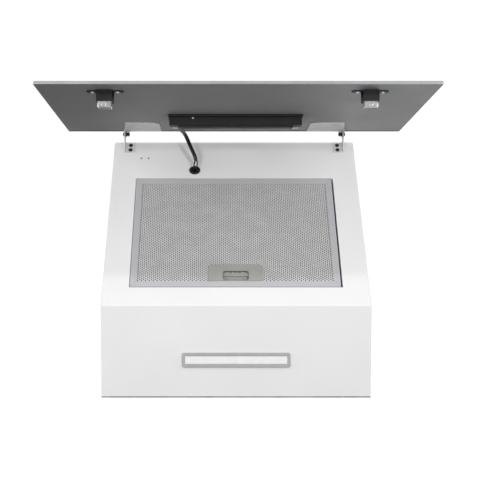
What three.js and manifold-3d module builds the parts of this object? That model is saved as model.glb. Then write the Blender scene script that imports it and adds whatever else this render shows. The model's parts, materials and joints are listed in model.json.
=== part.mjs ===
// A slanted under-cabinet cooker hood: a folded steel body with a blower inside, a grease filter in its
// slanted face, a light bar in its floor, and a glass front panel that swings up from the crest of the face.
// Millimetres, +Z up, +Y towards the wall. The origin is on the back panel, at its middle.
import * as THREE from 'three';
import { mergeVertices } from 'three/addons/utils/BufferGeometryUtils.js';
import Module from 'manifold-3d';

const wasm = await Module();
wasm.setup();

// ---------------------------------------------------------------- driving dimensions
const GAP = 0.3;
const PAST = 4;
const SHEET = 1.2;
const BEND_RADIUS = 3;
const BODY = { width: 438, height: 290, floorDepth: 151, faceLength: 361, faceTilt: 42.6 };
const GLASS = { width: 600, near: 5, far: 360, thickness: 5, corner: 4 };
const HINGE = { fromCrest: 1, offFace: 22.5, offGlass: 4.6, armX: 198, pinRadius: 2, openAngle: 57 };
const BRACKET = { thickness: 1.5, flange: 19, length: 24, fromCrest: 2, screwRows: [9.7, 21] };
const GLASS_PLATE = { inner: 131, outer: 197, near: 14, length: 86, thickness: 1.5, corner: 8, taper: 7 };
const FILTER = { width: 347, length: 234, depth: 9, fromCrest: 89.3, bar: 11.5, skin: 0.8, clearance: 1.7 };
const LATCH = { width: 91, length: 34, pocketWidth: 42.4, pocketLength: 16 };
const MAGNET = { x: 199, fromHinge: 316, flange: 56, flangeWidth: 12, blockWidth: 25, blockLength: 22 };
const CONTROL = { far: 153, length: 46, deep: 25, taper: 5 };
const CONTROL_WIDTH = { rim: 225, body: 221, core: 191, low: 210 };
const LIGHT = { width: 176, depth: 24.5, windowWidth: 167, windowDepth: 13.3, fromFold: 76.5 };
const COLLAR = { y: -185, radius: 75, wall: 2, flangeRadius: 90, height: 42 };
const BLOWER = { y: -150, z: 20, halfWidth: 57, wall: 2, startRadius: 68, endRadius: 105, inletRadius: 56 };
const IMPELLER = { radius: 62, vaneInner: 50, halfWidth: 50, vanes: 36 };
const GROMMET = { x: -71, fromCrest: 69, radius: 10, hole: 8, bore: 4.2 };
const CABLE_RADIUS = 3.4;

// ---------------------------------------------------------------- colours and finishes
const finish = (color, roughness, metalness) => ({ color, roughness, metalness });
const WHITE_PAINT = finish(0xeef0f2, 0.35, 0.0);
const GLASS_GREY = finish(0x74767a, 0.5, 0.1);
const ALUMINIUM = finish(0xb2b4b8, 0.4, 0.9);
const ZINC = finish(0xc4c6c8, 0.45, 0.8);
const STEEL = finish(0x9a9da0, 0.35, 0.9);
const BLACK_PLASTIC = finish(0x1c1d1f, 0.5, 0.0);
const BLACK_RUBBER = finish(0x101112, 0.7, 0.0);
const WARM_GREY_PLASTIC = finish(0xa2a49c, 0.5, 0.0);
const SILVER_PLASTIC = finish(0xb0b2b4, 0.4, 0.3);
const DIFFUSER = finish(0xf4f4f4, 0.3, 0.0);
const BOARD_GREEN = finish(0x2f6a45, 0.6, 0.0);
const GREY_PLASTIC = finish(0x8b8e90, 0.6, 0.0);

// ---------------------------------------------------------------- solids
function solidOf(geometry) {
  const bare = geometry.clone();
  bare.deleteAttribute('normal');
  bare.deleteAttribute('uv');
  const merged = mergeVertices(bare, 1e-4);
  const vertProperties = new Float32Array(merged.attributes.position.array);
  const triVerts = new Uint32Array(merged.index.array);
  return new wasm.Manifold(new wasm.Mesh({ numProp: 3, vertProperties, triVerts }));
}

function geometryOf(solid) {
  const mesh = solid.getMesh();
  const geometry = new THREE.BufferGeometry();
  geometry.setAttribute('position', new THREE.BufferAttribute(mesh.vertProperties, 3));
  geometry.setIndex(new THREE.BufferAttribute(mesh.triVerts, 1));
  geometry.computeVertexNormals();
  return geometry;
}

const vectors = (pairs) => pairs.map(([a, b]) => new THREE.Vector2(a, b));
const join = (first, ...others) => others.reduce((sum, next) => sum.add(next), first);
const cut = (first, ...tools) => tools.reduce((rest, tool) => rest.subtract(tool), first);
const moved = (solid, matrix) => solid.transform(matrix.elements);

function box(x0, x1, y0, y1, z0, z1) {
  const geometry = new THREE.BoxGeometry(x1 - x0, y1 - y0, z1 - z0);
  geometry.translate((x0 + x1) / 2, (y0 + y1) / 2, (z0 + z1) / 2);
  return solidOf(geometry);
}

// An outline in the XY plane, between two heights.
function slab(points, z0, z1) {
  const shape = Array.isArray(points) ? new THREE.Shape(points) : points;
  const settings = { depth: z1 - z0, bevelEnabled: false, curveSegments: 6 };
  const geometry = new THREE.ExtrudeGeometry(shape, settings);
  geometry.translate(0, 0, z0);
  return solidOf(geometry);
}

// An outline in the YZ plane, between two places along X.
const YZ_TO_X = new THREE.Matrix4().makeBasis(
  new THREE.Vector3(0, 1, 0), new THREE.Vector3(0, 0, 1), new THREE.Vector3(1, 0, 0));
const rail = (points, x0, x1) => moved(slab(points, x0, x1), YZ_TO_X);

// A ring or a plug turned about Z from its (radius, z) outline.
function turned(profile, sides = 24) {
  const points = vectors([...profile, profile[0]]);
  const clockwise = THREE.ShapeUtils.isClockWise(points);
  const geometry = new THREE.LatheGeometry(clockwise ? points.reverse() : points, sides);
  geometry.rotateX(Math.PI / 2);
  return solidOf(geometry);
}

const disc = (radius, z0, z1, sides = 24) => turned([[0, z0], [radius, z0], [radius, z1], [0, z1]], sides);
const ring = (inner, outer, z0, z1, sides = 24) =>
  turned([[inner, z0], [outer, z0], [outer, z1], [inner, z1]], sides);
const at = (x, y, z) => new THREE.Matrix4().makeTranslation(x, y, z);
const alongX = new THREE.Matrix4().makeRotationY(Math.PI / 2);
const alongY = new THREE.Matrix4().makeRotationX(-Math.PI / 2);

function roundedRectangle(x0, x1, y0, y1, radius) {
  const shape = new THREE.Shape();
  shape.moveTo(x0 + radius, y0);
  shape.lineTo(x1 - radius, y0);
  shape.absarc(x1 - radius, y0 + radius, radius, -Math.PI / 2, 0);
  shape.lineTo(x1, y1 - radius);
  shape.absarc(x1 - radius, y1 - radius, radius, 0, Math.PI / 2);
  shape.lineTo(x0 + radius, y1);
  shape.absarc(x0 + radius, y1 - radius, radius, Math.PI / 2, Math.PI);
  shape.lineTo(x0, y0 + radius);
  shape.absarc(x0 + radius, y0 + radius, radius, Math.PI, 1.5 * Math.PI);
  return shape;
}

// A folded strip: the outline of sheet that follows a line with round bends, its thickness to the right.
function foldedSheet(corners, thickness, radius, steps = 4) {
  const outer = [];
  const inner = [];
  const rightOf = (direction) => new THREE.Vector2(direction.y, -direction.x);
  const add = (point, normal) => {
    outer.push(point.clone());
    inner.push(point.clone().addScaledVector(normal, thickness));
  };
  const line = vectors(corners);
  const way = (i) => line[i + 1].clone().sub(line[i]).normalize();
  add(line[0], rightOf(way(0)));
  for (let i = 1; i < line.length - 1; i += 1) {
    const from = rightOf(way(i - 1));
    const to = rightOf(way(i));
    const turn = Math.acos(THREE.MathUtils.clamp(from.dot(to), -1, 1));
    const back = radius * Math.tan(turn / 2);
    const centre = line[i].clone().addScaledVector(way(i - 1), -back).addScaledVector(from, radius);
    for (let step = 0; step <= steps; step += 1) {
      const normal = from.clone().lerp(to, step / steps).normalize();
      add(centre.clone().addScaledVector(normal, -radius), normal);
    }
  }
  const last = line.length - 2;
  add(line[last + 1], rightOf(way(last)));
  return [...outer, ...inner.reverse()];
}

// ---------------------------------------------------------------- the tree of frames
const hood = new THREE.Group();
const halfWidth = BODY.width / 2;
const floorZ = -BODY.height / 2;
const topZ = BODY.height / 2;
const tilt = THREE.MathUtils.degToRad(BODY.faceTilt);
const fold = new THREE.Vector2(-BODY.floorDepth, floorZ);
const crest = new THREE.Vector2(
  fold.x - BODY.faceLength * Math.cos(tilt), fold.y + BODY.faceLength * Math.sin(tilt));

// Face frame: X right, Y up the slanted face from the fold, Z out of the face.
const faceFrame = new THREE.Group();
faceFrame.position.set(0, fold.x, fold.y);
faceFrame.rotation.x = Math.PI - tilt;
hood.add(faceFrame);
const up = (fromCrest) => BODY.faceLength - fromCrest;

// Panel frame: X right, Y from the hinge to the free edge, Z towards the wall. It hangs open.
const panelFrame = new THREE.Group();
panelFrame.position.set(0, up(HINGE.fromCrest), HINGE.offFace);
panelFrame.rotation.x = Math.PI - THREE.MathUtils.degToRad(HINGE.openAngle);
faceFrame.add(panelFrame);
const backOfGlass = -HINGE.offGlass;

hood.updateMatrixWorld(true);
const inFace = (solid) => moved(solid, faceFrame.matrixWorld);

function piece(parent, name, solid, { color, roughness, metalness }) {
  const material = new THREE.MeshStandardMaterial({ color, roughness, metalness });
  const mesh = new THREE.Mesh(geometryOf(solid), material);
  mesh.name = name;
  parent.add(mesh);
  return mesh;
}

// Left is -1, right is +1.
const SIDES = [['left', -1], ['right', 1]];
const mirrored = new THREE.Matrix4().makeScale(-1, 1, 1);
const onSide = (solid, side) => (side > 0 ? solid : moved(solid, mirrored));

// A pan-head screw along -Z, its head's underside at z = 0.
function screw(shankRadius, headRadius, headHeight, length) {
  const dome = [headRadius * 0.6, headHeight];
  return turned([[0, -length], [shankRadius, -length], [shankRadius, 0], [headRadius, 0],
    [headRadius, headHeight * 0.5], dome, [0, headHeight]], 16);
}

// ---------------------------------------------------------------- the filter's and latch's places
const filterLeft = -FILTER.width / 2;
const filterRight = FILTER.width / 2;
const filterTop = up(FILTER.fromCrest);
const filterBottom = filterTop - FILTER.length;
const latchBottom = filterBottom + FILTER.bar + GAP;
const latchTop = latchBottom + LATCH.length;
const pocketBottom = latchBottom + 1.5;
const pocketTop = pocketBottom + LATCH.pocketLength;
const slideTop = latchTop - 3;

// ---------------------------------------------------------------- the folded steel body
const BRACKET_HOLE = 2.2;
const SENSOR_HOLES = [-168, -155];
const SENSOR_FROM_CREST = 39;
const SENSOR_RADIUS = 1.8;
const screwX = HINGE.armX - BRACKET.flange / 2;
const lightY0 = fold.x + LIGHT.fromFold;
const lightY1 = lightY0 + LIGHT.depth;
const LIGHT_REST = 2.2;

function frontShell() {
  const outline = foldedSheet(
    [[-SHEET - GAP, fold.y], [fold.x, fold.y], [crest.x, crest.y], [crest.x, topZ - SHEET - GAP]],
    SHEET, BEND_RADIUS);
  const through = [-PAST, PAST];
  const c = FILTER.clearance;
  const filterOpening = box(filterLeft - c, filterRight + c, filterBottom - c, filterTop + c, ...through);
  const lightOpening = box(-LIGHT.width / 2 + LIGHT_REST, LIGHT.width / 2 - LIGHT_REST,
    lightY0 + LIGHT_REST, lightY1 - LIGHT_REST, floorZ - PAST, floorZ + PAST);
  const cableHole = moved(disc(GROMMET.hole, ...through), at(GROMMET.x, up(GROMMET.fromCrest), 0));
  const sensorHoles = SENSOR_HOLES.map((x) =>
    moved(disc(SENSOR_RADIUS, ...through, 12), at(x, up(SENSOR_FROM_CREST), 0)));
  const screwHoles = SIDES.flatMap(([, side]) => BRACKET.screwRows.map((row) =>
    moved(disc(BRACKET_HOLE, ...through, 12), at(side * screwX, up(row), 0))));
  const faceCuts = join(filterOpening, cableHole, ...sensorHoles, ...screwHoles);
  return cut(rail(outline, -halfWidth, halfWidth), inFace(faceCuts), lightOpening);
}

// A side panel lies inside the front shell, with a flange along its top for the lid's screws.
function sidePanel() {
  const drop = SHEET + GAP;
  const inset = drop / Math.cos(tilt / 2);
  const lean = drop * Math.tan(tilt / 2);
  const crestLean = drop * Math.tan((Math.PI / 2 - tilt) / 2);
  const side = vectors([[-drop, floorZ + drop], [fold.x + lean, floorZ + drop],
    [crest.x + drop, crest.y + crestLean], [crest.x + drop, topZ - drop], [-drop, topZ - drop]]);
  const flangeWidth = 15;
  const plate = rail(side, halfWidth - SHEET, halfWidth);
  const flange = box(halfWidth - flangeWidth, halfWidth - SHEET / 2, crest.x + inset + 4, -drop - 2,
    topZ - drop - SHEET, topZ - drop);
  return join(plate, flange);
}

const KEYHOLE = { x: 150, z: 110, head: 5.5, slot: 3, rise: 9 };
const GLAND = { x: 120, y: -60, radius: 9, hole: 7.2 };

function backPanel() {
  const panel = box(-halfWidth, halfWidth, -SHEET, 0, floorZ, topZ - SHEET - GAP);
  const keyholes = SIDES.map(([, side]) => {
    const head = moved(disc(KEYHOLE.head, -PAST, PAST), at(side * KEYHOLE.x, 0, KEYHOLE.z).multiply(alongY));
    const slot = box(side * KEYHOLE.x - KEYHOLE.slot, side * KEYHOLE.x + KEYHOLE.slot, -PAST, PAST,
      KEYHOLE.z, KEYHOLE.z + KEYHOLE.rise);
    return join(head, slot);
  });
  return cut(panel, ...keyholes);
}

function topPanel() {
  const lid = box(-halfWidth, halfWidth, crest.x, 0, topZ - SHEET, topZ);
  const outlet = moved(disc(COLLAR.radius - 1, topZ - PAST, topZ + PAST, 48), at(0, COLLAR.y, 0));
  const glandHole = moved(disc(GLAND.hole, topZ - PAST, topZ + PAST, 16), at(GLAND.x, GLAND.y, 0));
  return cut(lid, outlet, glandHole);
}

piece(hood, 'front_shell', frontShell(), WHITE_PAINT);
for (const [name, side] of SIDES) piece(hood, `side_panel_${name}`, onSide(sidePanel(), side), WHITE_PAINT);
piece(hood, 'back_panel', backPanel(), ZINC);
piece(hood, 'top_panel', topPanel(), ZINC);

// ---------------------------------------------------------------- duct collar with two damper flaps
const AXLE = { radius: 2, rise: 6 };
const FLAP = { thickness: 1.5, margin: 2.4, split: 4.6, knuckle: 4, knuckleBore: 2.3 };
const axleZ = topZ + AXLE.rise;

// The spigot that a duct slides over, and the flange ring round its foot.
function ductCollar() {
  const spigot = ring(COLLAR.radius - COLLAR.wall, COLLAR.radius, topZ + GAP, topZ + GAP + COLLAR.height, 48);
  return moved(spigot, at(0, COLLAR.y, 0));
}

function collarFlange() {
  const flange = ring(COLLAR.radius + GAP, COLLAR.flangeRadius, topZ + GAP, topZ + GAP + COLLAR.wall, 48);
  return moved(flange, at(0, COLLAR.y, 0));
}

// Half a disc with two knuckles on the axle; the rear flap's knuckles sit between the front flap's.
function damperFlap(direction, knuckleInner, knuckleOuter) {
  const radius = COLLAR.radius - COLLAR.wall - FLAP.margin;
  const half = FLAP.thickness / 2;
  const whole = disc(radius, -half, half, 48);
  const keep = box(-radius, radius, FLAP.split, radius, -half, half);
  const plate = whole.intersect(keep);
  const knuckles = [-1, 1].flatMap((side) => {
    const middle = side * (knuckleInner + knuckleOuter) / 2;
    const reach = (knuckleOuter - knuckleInner) / 2;
    const sleeve = ring(FLAP.knuckleBore, FLAP.knuckle, -reach, reach, 16);
    const barrel = moved(sleeve, at(middle, 0, 0).multiply(alongX));
    const tab = box(middle - reach, middle + reach, FLAP.knuckle - 0.6, FLAP.split + 1, -half, half);
    return [barrel, tab];
  });
  const turn = new THREE.Matrix4().makeRotationZ(direction > 0 ? 0 : Math.PI);
  return moved(moved(join(plate, ...knuckles), turn), at(0, COLLAR.y, axleZ));
}

const axleHalf = COLLAR.radius - COLLAR.wall - 0.5;
piece(hood, 'duct_collar', ductCollar(), BLACK_PLASTIC);
piece(hood, 'collar_flange', collarFlange(), BLACK_PLASTIC);
piece(hood, 'flap_axle', moved(disc(AXLE.radius, -axleHalf, axleHalf, 12),
  at(0, COLLAR.y, axleZ).multiply(alongX)), STEEL);
piece(hood, 'damper_flap_front', damperFlap(-1, 32, 50), GREY_PLASTIC);
piece(hood, 'damper_flap_rear', damperFlap(1, 8, 26), GREY_PLASTIC);

// ---------------------------------------------------------------- blower
// The scroll's outline grows from the tongue round to the front, where it runs straight up to the outlet.
const TONGUE_ANGLE = THREE.MathUtils.degToRad(30);
const FRONT_ANGLE = 1.5 * Math.PI;

function scrollOutline(inset) {
  const points = [];
  const steps = 28;
  for (let i = 0; i <= steps; i += 1) {
    const angle = TONGUE_ANGLE + (FRONT_ANGLE - TONGUE_ANGLE) * (i / steps);
    const growth = (angle - TONGUE_ANGLE) / (FRONT_ANGLE - TONGUE_ANGLE);
    const radius = THREE.MathUtils.lerp(BLOWER.startRadius, BLOWER.endRadius, growth) - inset;
    points.push([BLOWER.y + radius * Math.sin(angle), BLOWER.z + radius * Math.cos(angle)]);
  }
  const outletZ = topZ - SHEET - 2 * GAP + (inset ? 4 : 0);
  points.push([points[steps][0], outletZ], [points[0][0], outletZ]);
  return vectors(points);
}

function blowerHousing() {
  const outer = rail(scrollOutline(0), GAP / 2, BLOWER.halfWidth);
  const inner = rail(scrollOutline(BLOWER.wall), -1, BLOWER.halfWidth - BLOWER.wall);
  const inlet = moved(disc(BLOWER.inletRadius, BLOWER.halfWidth - 6, BLOWER.halfWidth + 6, 36),
    at(0, BLOWER.y, BLOWER.z).multiply(alongX));
  return cut(outer, inner, inlet);
}

const SHAFT = { radius: 4, from: -30, to: 20 };
const MOTOR = { radius: 42, from: -62, to: -8 };
const onShaft = (solid) => moved(solid, at(0, BLOWER.y, BLOWER.z).multiply(alongX));

function impeller() {
  const { radius, vaneInner, halfWidth: reach, vanes } = IMPELLER;
  const parts = [disc(radius - 1, -1, 1, 36), disc(12, -6, 16, 16)];
  for (const z of [-reach, reach]) parts.push(ring(radius - 6, radius, z - 1, z + 1, 36));
  const chord = radius - vaneInner;
  for (let i = 0; i < vanes; i += 1) {
    const vane = box(vaneInner, vaneInner + chord - 1, -0.5, 0.5, -reach, reach);
    parts.push(moved(vane, new THREE.Matrix4().makeRotationZ((i / vanes) * 2 * Math.PI)));
  }
  const wheel = cut(join(...parts), disc(SHAFT.radius + GAP, -20, 20, 16));
  return onShaft(wheel);
}

function motor() {
  const bore = SHAFT.radius + GAP;
  return onShaft(turned([[0, MOTOR.from], [MOTOR.radius - 4, MOTOR.from], [MOTOR.radius, MOTOR.from + 6],
    [MOTOR.radius, MOTOR.to - 6], [MOTOR.radius - 6, MOTOR.to], [bore, MOTOR.to], [bore, SHAFT.from - 2],
    [0, SHAFT.from - 2]], 32));
}

// A three-armed spider behind the motor, with feet against the housing's side wall.
function motorBracket() {
  const back = MOTOR.from - GAP;
  const parts = [ring(18, 40, back - 2, back, 32)];
  for (let i = 0; i < 3; i += 1) {
    const turn = new THREE.Matrix4().makeRotationZ(((i + 0.5) / 3) * 2 * Math.PI);
    const arm = box(34, 74, -6, 6, back - 2, back);
    const foot = box(66, 74, -6, 6, back - 2, -BLOWER.halfWidth - GAP);
    parts.push(moved(join(arm, foot), turn));
  }
  return onShaft(join(...parts));
}

piece(hood, 'blower_housing_left', onSide(blowerHousing(), -1), BLACK_PLASTIC);
piece(hood, 'blower_housing_right', onSide(blowerHousing(), 1), BLACK_PLASTIC);
piece(hood, 'blower_motor', motor(), STEEL);
piece(hood, 'motor_bracket', motorBracket(), ZINC);
piece(hood, 'impeller', impeller(), GREY_PLASTIC);
piece(hood, 'motor_shaft', onShaft(disc(SHAFT.radius, SHAFT.from, SHAFT.to, 16)), STEEL);

// ---------------------------------------------------------------- electrics inside the body
const TERMINAL = { x0: 95, x1: 175, y0: -90, y1: -20, z0: 78, z1: 112 };

function terminalBase() {
  const { x0, x1, y0, y1, z0, z1 } = TERMINAL;
  return cut(box(x0, x1, y0, y1, z0, z1), box(x0 + 2, x1 - 2, y0 + 2, y1 - 2, z0 + 2, z1 + 1));
}

function mainsGland() {
  const under = topZ - SHEET - GAP;
  const over = topZ + GAP;
  const bore = 4;
  return moved(turned([[bore, under - 3], [GLAND.radius, under - 3], [GLAND.radius, under],
    [GLAND.hole - GAP, under], [GLAND.hole - GAP, over], [GLAND.radius, over], [GLAND.radius - 1, over + 6],
    [bore + 1.5, over + 12], [bore, over + 12]], 16), at(GLAND.x, GLAND.y, 0));
}

piece(hood, 'terminal_box', terminalBase(), GREY_PLASTIC);
piece(hood, 'terminal_cover', box(TERMINAL.x0, TERMINAL.x1, TERMINAL.y0, TERMINAL.y1,
  TERMINAL.z1 + GAP, TERMINAL.z1 + 2.3), GREY_PLASTIC);
piece(hood, 'motor_capacitor', moved(disc(15, -28, 28, 24), at(-150, -40, 60).multiply(alongX)), ALUMINIUM);
piece(hood, 'led_driver', box(110, 180, -60, -24, floorZ + SHEET + GAP, floorZ + 26), GREY_PLASTIC);
piece(hood, 'mains_gland', mainsGland(), BLACK_PLASTIC);

// ---------------------------------------------------------------- light bar in the floor
const frameFace = floorZ - 2;
const lightMiddle = (lightY0 + lightY1) / 2;

function lightFrame() {
  const half = LIGHT.width / 2;
  const flange = slab(roundedRectangle(-half, half, lightY0, lightY1, 2), frameFace, floorZ - GAP);
  const inset = LIGHT_REST + GAP;
  const neck = box(-half + inset, half - inset, lightY0 + inset, lightY1 - inset, floorZ - 1, floorZ + 8);
  const reachX = LIGHT.windowWidth / 2;
  const reachY = LIGHT.windowDepth / 2;
  const window = box(-reachX, reachX, lightMiddle - reachY, lightMiddle + reachY, floorZ - 4, floorZ + 10);
  return cut(join(flange, neck), window);
}

function lightPlate(margin, z0, z1) {
  const reachX = LIGHT.windowWidth / 2 - margin;
  const reachY = LIGHT.windowDepth / 2 - margin;
  return box(-reachX, reachX, lightMiddle - reachY, lightMiddle + reachY, z0, z1);
}

piece(hood, 'light_frame', lightFrame(), SILVER_PLASTIC);
piece(hood, 'light_diffuser', lightPlate(GAP, frameFace + 0.6, frameFace + 3), DIFFUSER);
piece(hood, 'light_board', lightPlate(1, floorZ + 5, floorZ + 6.6), BOARD_GREEN);

// ---------------------------------------------------------------- rails that the filter shuts against
function filterRail(towardsFilter, edge) {
  const wall = SHEET;
  const hidden = -SHEET - GAP;
  const depth = -FILTER.depth - 3;
  const out = (distance) => edge - towardsFilter * distance;
  const leg = 5.5;
  const seat = 13;
  const z = vectors([[out(leg), hidden], [out(0), hidden], [out(0), depth + wall],
    [out(-seat), depth + wall], [out(-seat), depth], [out(wall), depth], [out(wall), hidden - wall],
    [out(leg), hidden - wall]]);
  return rail(towardsFilter > 0 ? z.reverse() : z, filterLeft + 12, filterRight - 12);
}

piece(faceFrame, 'filter_rail_upper', filterRail(-1, filterTop + 4), ZINC);
piece(faceFrame, 'filter_rail_lower', filterRail(1, filterBottom - 4), ZINC);

// ---------------------------------------------------------------- cable grommet
function grommet() {
  const flange = 2;
  const neck = GROMMET.hole - GAP;
  return turned([[GROMMET.bore, -SHEET - GAP - flange], [GROMMET.radius, -SHEET - GAP - flange],
    [GROMMET.radius, -SHEET - GAP], [neck, -SHEET - GAP], [neck, GAP], [GROMMET.radius, GAP],
    [GROMMET.radius - 1, GAP + flange], [GROMMET.bore, GAP + flange]], 24);
}

piece(faceFrame, 'cable_grommet', moved(grommet(), at(GROMMET.x, up(GROMMET.fromCrest), 0)), BLACK_RUBBER);

// ---------------------------------------------------------------- hinges on the body
const armInner = HINGE.armX;
const armOuter = HINGE.armX + BRACKET.thickness;
const armTip = HINGE.offGlass - 0.4;

// The arm stands on the face beside the side panel and narrows to a round eye; its foot turns inwards.
function bodyBracket() {
  const hingeY = up(HINGE.fromCrest);
  const near = up(BRACKET.fromCrest);
  const far = near - BRACKET.length;
  const arm = new THREE.Shape();
  arm.moveTo(far, GAP);
  arm.lineTo(near, GAP);
  arm.lineTo(hingeY + armTip, HINGE.offFace);
  arm.absarc(hingeY, HINGE.offFace, armTip, 0, Math.PI);
  arm.lineTo(hingeY - armTip - 3, HINGE.offFace - 8);
  arm.lineTo(far, GAP + 5);
  const eye = moved(disc(HINGE.pinRadius + GAP, armInner - 5, armOuter + 5, 16),
    at(0, hingeY, HINGE.offFace).multiply(alongX));
  const foot = box(armOuter - BRACKET.flange, armOuter - 0.1, far, near, GAP, GAP + BRACKET.thickness);
  const holes = BRACKET.screwRows.map((row) =>
    moved(disc(BRACKET_HOLE, -PAST, PAST, 12), at(screwX, up(row), 0)));
  return cut(join(rail(arm, armInner, armOuter), foot), eye, ...holes);
}

// The pin is a shoulder screw: a deep head on the inner side of the two ears, a flat nut on the outer side.
const PIN = { headRadius: 4, headHeight: 6.5, nutRadius: 3.4, nutHeight: 1.6 };

function hingePin() {
  const inner = armInner - GAP - GLASS_PLATE.thickness - GAP;
  const nutSeat = armOuter + GAP;
  const head = moved(disc(PIN.headRadius, inner - PIN.headHeight, inner, 16), alongX);
  const shank = moved(disc(HINGE.pinRadius, inner - 1, nutSeat + PIN.nutHeight + 0.4, 16), alongX);
  const nut = moved(disc(PIN.nutRadius, nutSeat, nutSeat + PIN.nutHeight, 6), alongX);
  return moved(join(head, shank, nut), at(0, up(HINGE.fromCrest), HINGE.offFace));
}

for (const [name, side] of SIDES) {
  piece(faceFrame, `body_bracket_${name}`, onSide(bodyBracket(), side), ZINC);
  piece(faceFrame, `hinge_pin_${name}`, onSide(hingePin(), side), STEEL);
  BRACKET.screwRows.forEach((row, index) => {
    const place = at(side * screwX, up(row), GAP + BRACKET.thickness + GAP);
    piece(faceFrame, `bracket_screw_${name}_${index + 1}`, moved(screw(1.9, 3.6, 2.2, 6), place), STEEL);
  });
}

// ---------------------------------------------------------------- glass panel and what it carries
function glassPanel() {
  const half = GLASS.width / 2;
  return slab(roundedRectangle(-half, half, GLASS.near, GLASS.far, GLASS.corner),
    backOfGlass - GLASS.thickness, backOfGlass);
}

// A plate against the glass with an ear turned up at its outer end, on the inner side of the body's arm.
function glassBracket() {
  const bottom = backOfGlass + GAP;
  const { inner, outer, near, length, thickness, corner, taper } = GLASS_PLATE;
  const earOuter = HINGE.armX - GAP;
  const root = { reach: 14, near: 7, far: 20 };
  const outline = new THREE.Shape();
  outline.moveTo(inner, near);
  outline.lineTo(outer - root.reach, near);
  outline.lineTo(outer - root.near, root.near);
  outline.lineTo(outer + 0.2, root.near);
  outline.lineTo(outer + 0.2, root.far);
  outline.lineTo(outer - taper, length);
  outline.lineTo(inner + corner, length);
  outline.absarc(inner + corner, length - corner, corner, Math.PI / 2, Math.PI);
  const plate = slab(outline, bottom, bottom + thickness);
  const ear = new THREE.Shape();
  const tip = 7;
  ear.moveTo(GLASS.near + 1, bottom);
  ear.lineTo(30, bottom);
  ear.lineTo(26, bottom + tip);
  ear.lineTo(tip - 1, tip - 1);
  ear.absarc(0, 0, tip, 0.9, 1.3 * Math.PI);
  const eye = moved(disc(HINGE.pinRadius + GAP, earOuter - 6, earOuter + 5, 16), alongX);
  return cut(join(plate, rail(ear, earOuter - thickness, earOuter)), eye);
}

const magnetBase = backOfGlass + GAP;
const MAGNET_PLATE = 1.5;
const MAGNET_BLOCK = 16.5;
const MAGNET_SCREW_X = 18.5;
const MAGNET_HOLE = 1.9;
const magnetTop = HINGE.offFace - 0.5;

function magnetHolder() {
  const half = MAGNET.flange / 2;
  const reach = MAGNET.flangeWidth / 2;
  const plate = slab(roundedRectangle(-half, half, -reach, reach, 5), magnetBase, magnetBase + MAGNET_PLATE);
  const ribs = [];
  const ribCount = 6;
  const wide = MAGNET.blockWidth / 2;
  const long = MAGNET.blockLength / 2;
  for (let i = 0; i < ribCount; i += 1) {
    const x = -wide + 2 + (i * (2 * wide - 4)) / (ribCount - 1);
    ribs.push(box(x - 0.8, x + 0.8, -long - 0.8, long + 0.8, magnetBase + 3, magnetBase + MAGNET_BLOCK - 2));
  }
  const block = box(-wide, wide, -long, long, magnetBase, magnetBase + MAGNET_BLOCK);
  const socket = box(-wide + 4, wide - 4, -long + 4, long - 4, magnetBase + 8, magnetBase + 30);
  const holes = [-1, 1].map((side) =>
    moved(disc(MAGNET_HOLE, magnetBase - PAST, magnetBase + PAST, 12), at(side * MAGNET_SCREW_X, 0, 0)));
  return cut(join(plate, block, ...ribs), socket, ...holes);
}

function magnetTip() {
  const wide = MAGNET.blockWidth / 2 - 2;
  const long = MAGNET.blockLength / 2 - 3;
  const seat = magnetBase + MAGNET_BLOCK + GAP;
  const cap = slab(roundedRectangle(-wide, wide, -long, long, 3), seat, magnetTop);
  const stem = box(-wide + 3, wide - 3, -long + 2, long - 2, magnetBase + 8 + GAP, seat + 1);
  return join(cap, stem);
}

// The control box: a rim on the glass, a deep part with a raised middle, and a low part towards the hinge.
const controlNear = CONTROL.far - CONTROL.length;
const deepNear = CONTROL.far - CONTROL.deep;
const RIM_TOP = 4;
const LOW_TOP = 13.5;
const BODY_TOP = 18.8;
const CORE_TOP = 22.5;
const COVER_WALL = 2;
const ENTRY = { x: -94, z: 3.2, radius: CABLE_RADIUS + 0.8 };

function taperedBlock(width, near, height, drop, base) {
  const top = backOfGlass + height;
  return rail(vectors([[near, base], [CONTROL.far, base], [CONTROL.far, top], [near, top - drop]]),
    -width / 2, width / 2);
}

function controlBase() {
  const half = CONTROL_WIDTH.rim / 2;
  const bottom = backOfGlass + GAP;
  const wall = COVER_WALL + 1;
  const rim = box(-half, half, controlNear - 1, CONTROL.far + 0.5, bottom, backOfGlass + RIM_TOP);
  const floor = box(-CONTROL_WIDTH.body / 2 + wall, CONTROL_WIDTH.body / 2 - wall, controlNear + wall,
    CONTROL.far - wall, bottom + 1.5, backOfGlass + RIM_TOP + 4);
  return cut(rim, floor);
}

function controlCover() {
  const bottom = backOfGlass + RIM_TOP + GAP;
  const drop = CONTROL.deep * Math.tan(THREE.MathUtils.degToRad(CONTROL.taper));
  const wide = taperedBlock(CONTROL_WIDTH.body, deepNear, BODY_TOP, drop, bottom);
  const core = taperedBlock(CONTROL_WIDTH.core, deepNear, CORE_TOP, drop, bottom);
  const low = taperedBlock(CONTROL_WIDTH.low, controlNear, LOW_TOP, 0, bottom);
  const room = (width, near, top) => box(-width / 2 + COVER_WALL, width / 2 - COVER_WALL, near + COVER_WALL,
    CONTROL.far - COVER_WALL, bottom - 1, backOfGlass + top - COVER_WALL);
  const entry = moved(disc(ENTRY.radius, -COVER_WALL * 2, COVER_WALL * 2, 16),
    at(ENTRY.x, controlNear, ENTRY.z).multiply(alongY));
  return cut(join(wide, core, low), room(CONTROL_WIDTH.body, deepNear, BODY_TOP - drop),
    room(CONTROL_WIDTH.low, controlNear, LOW_TOP), entry);
}

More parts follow.
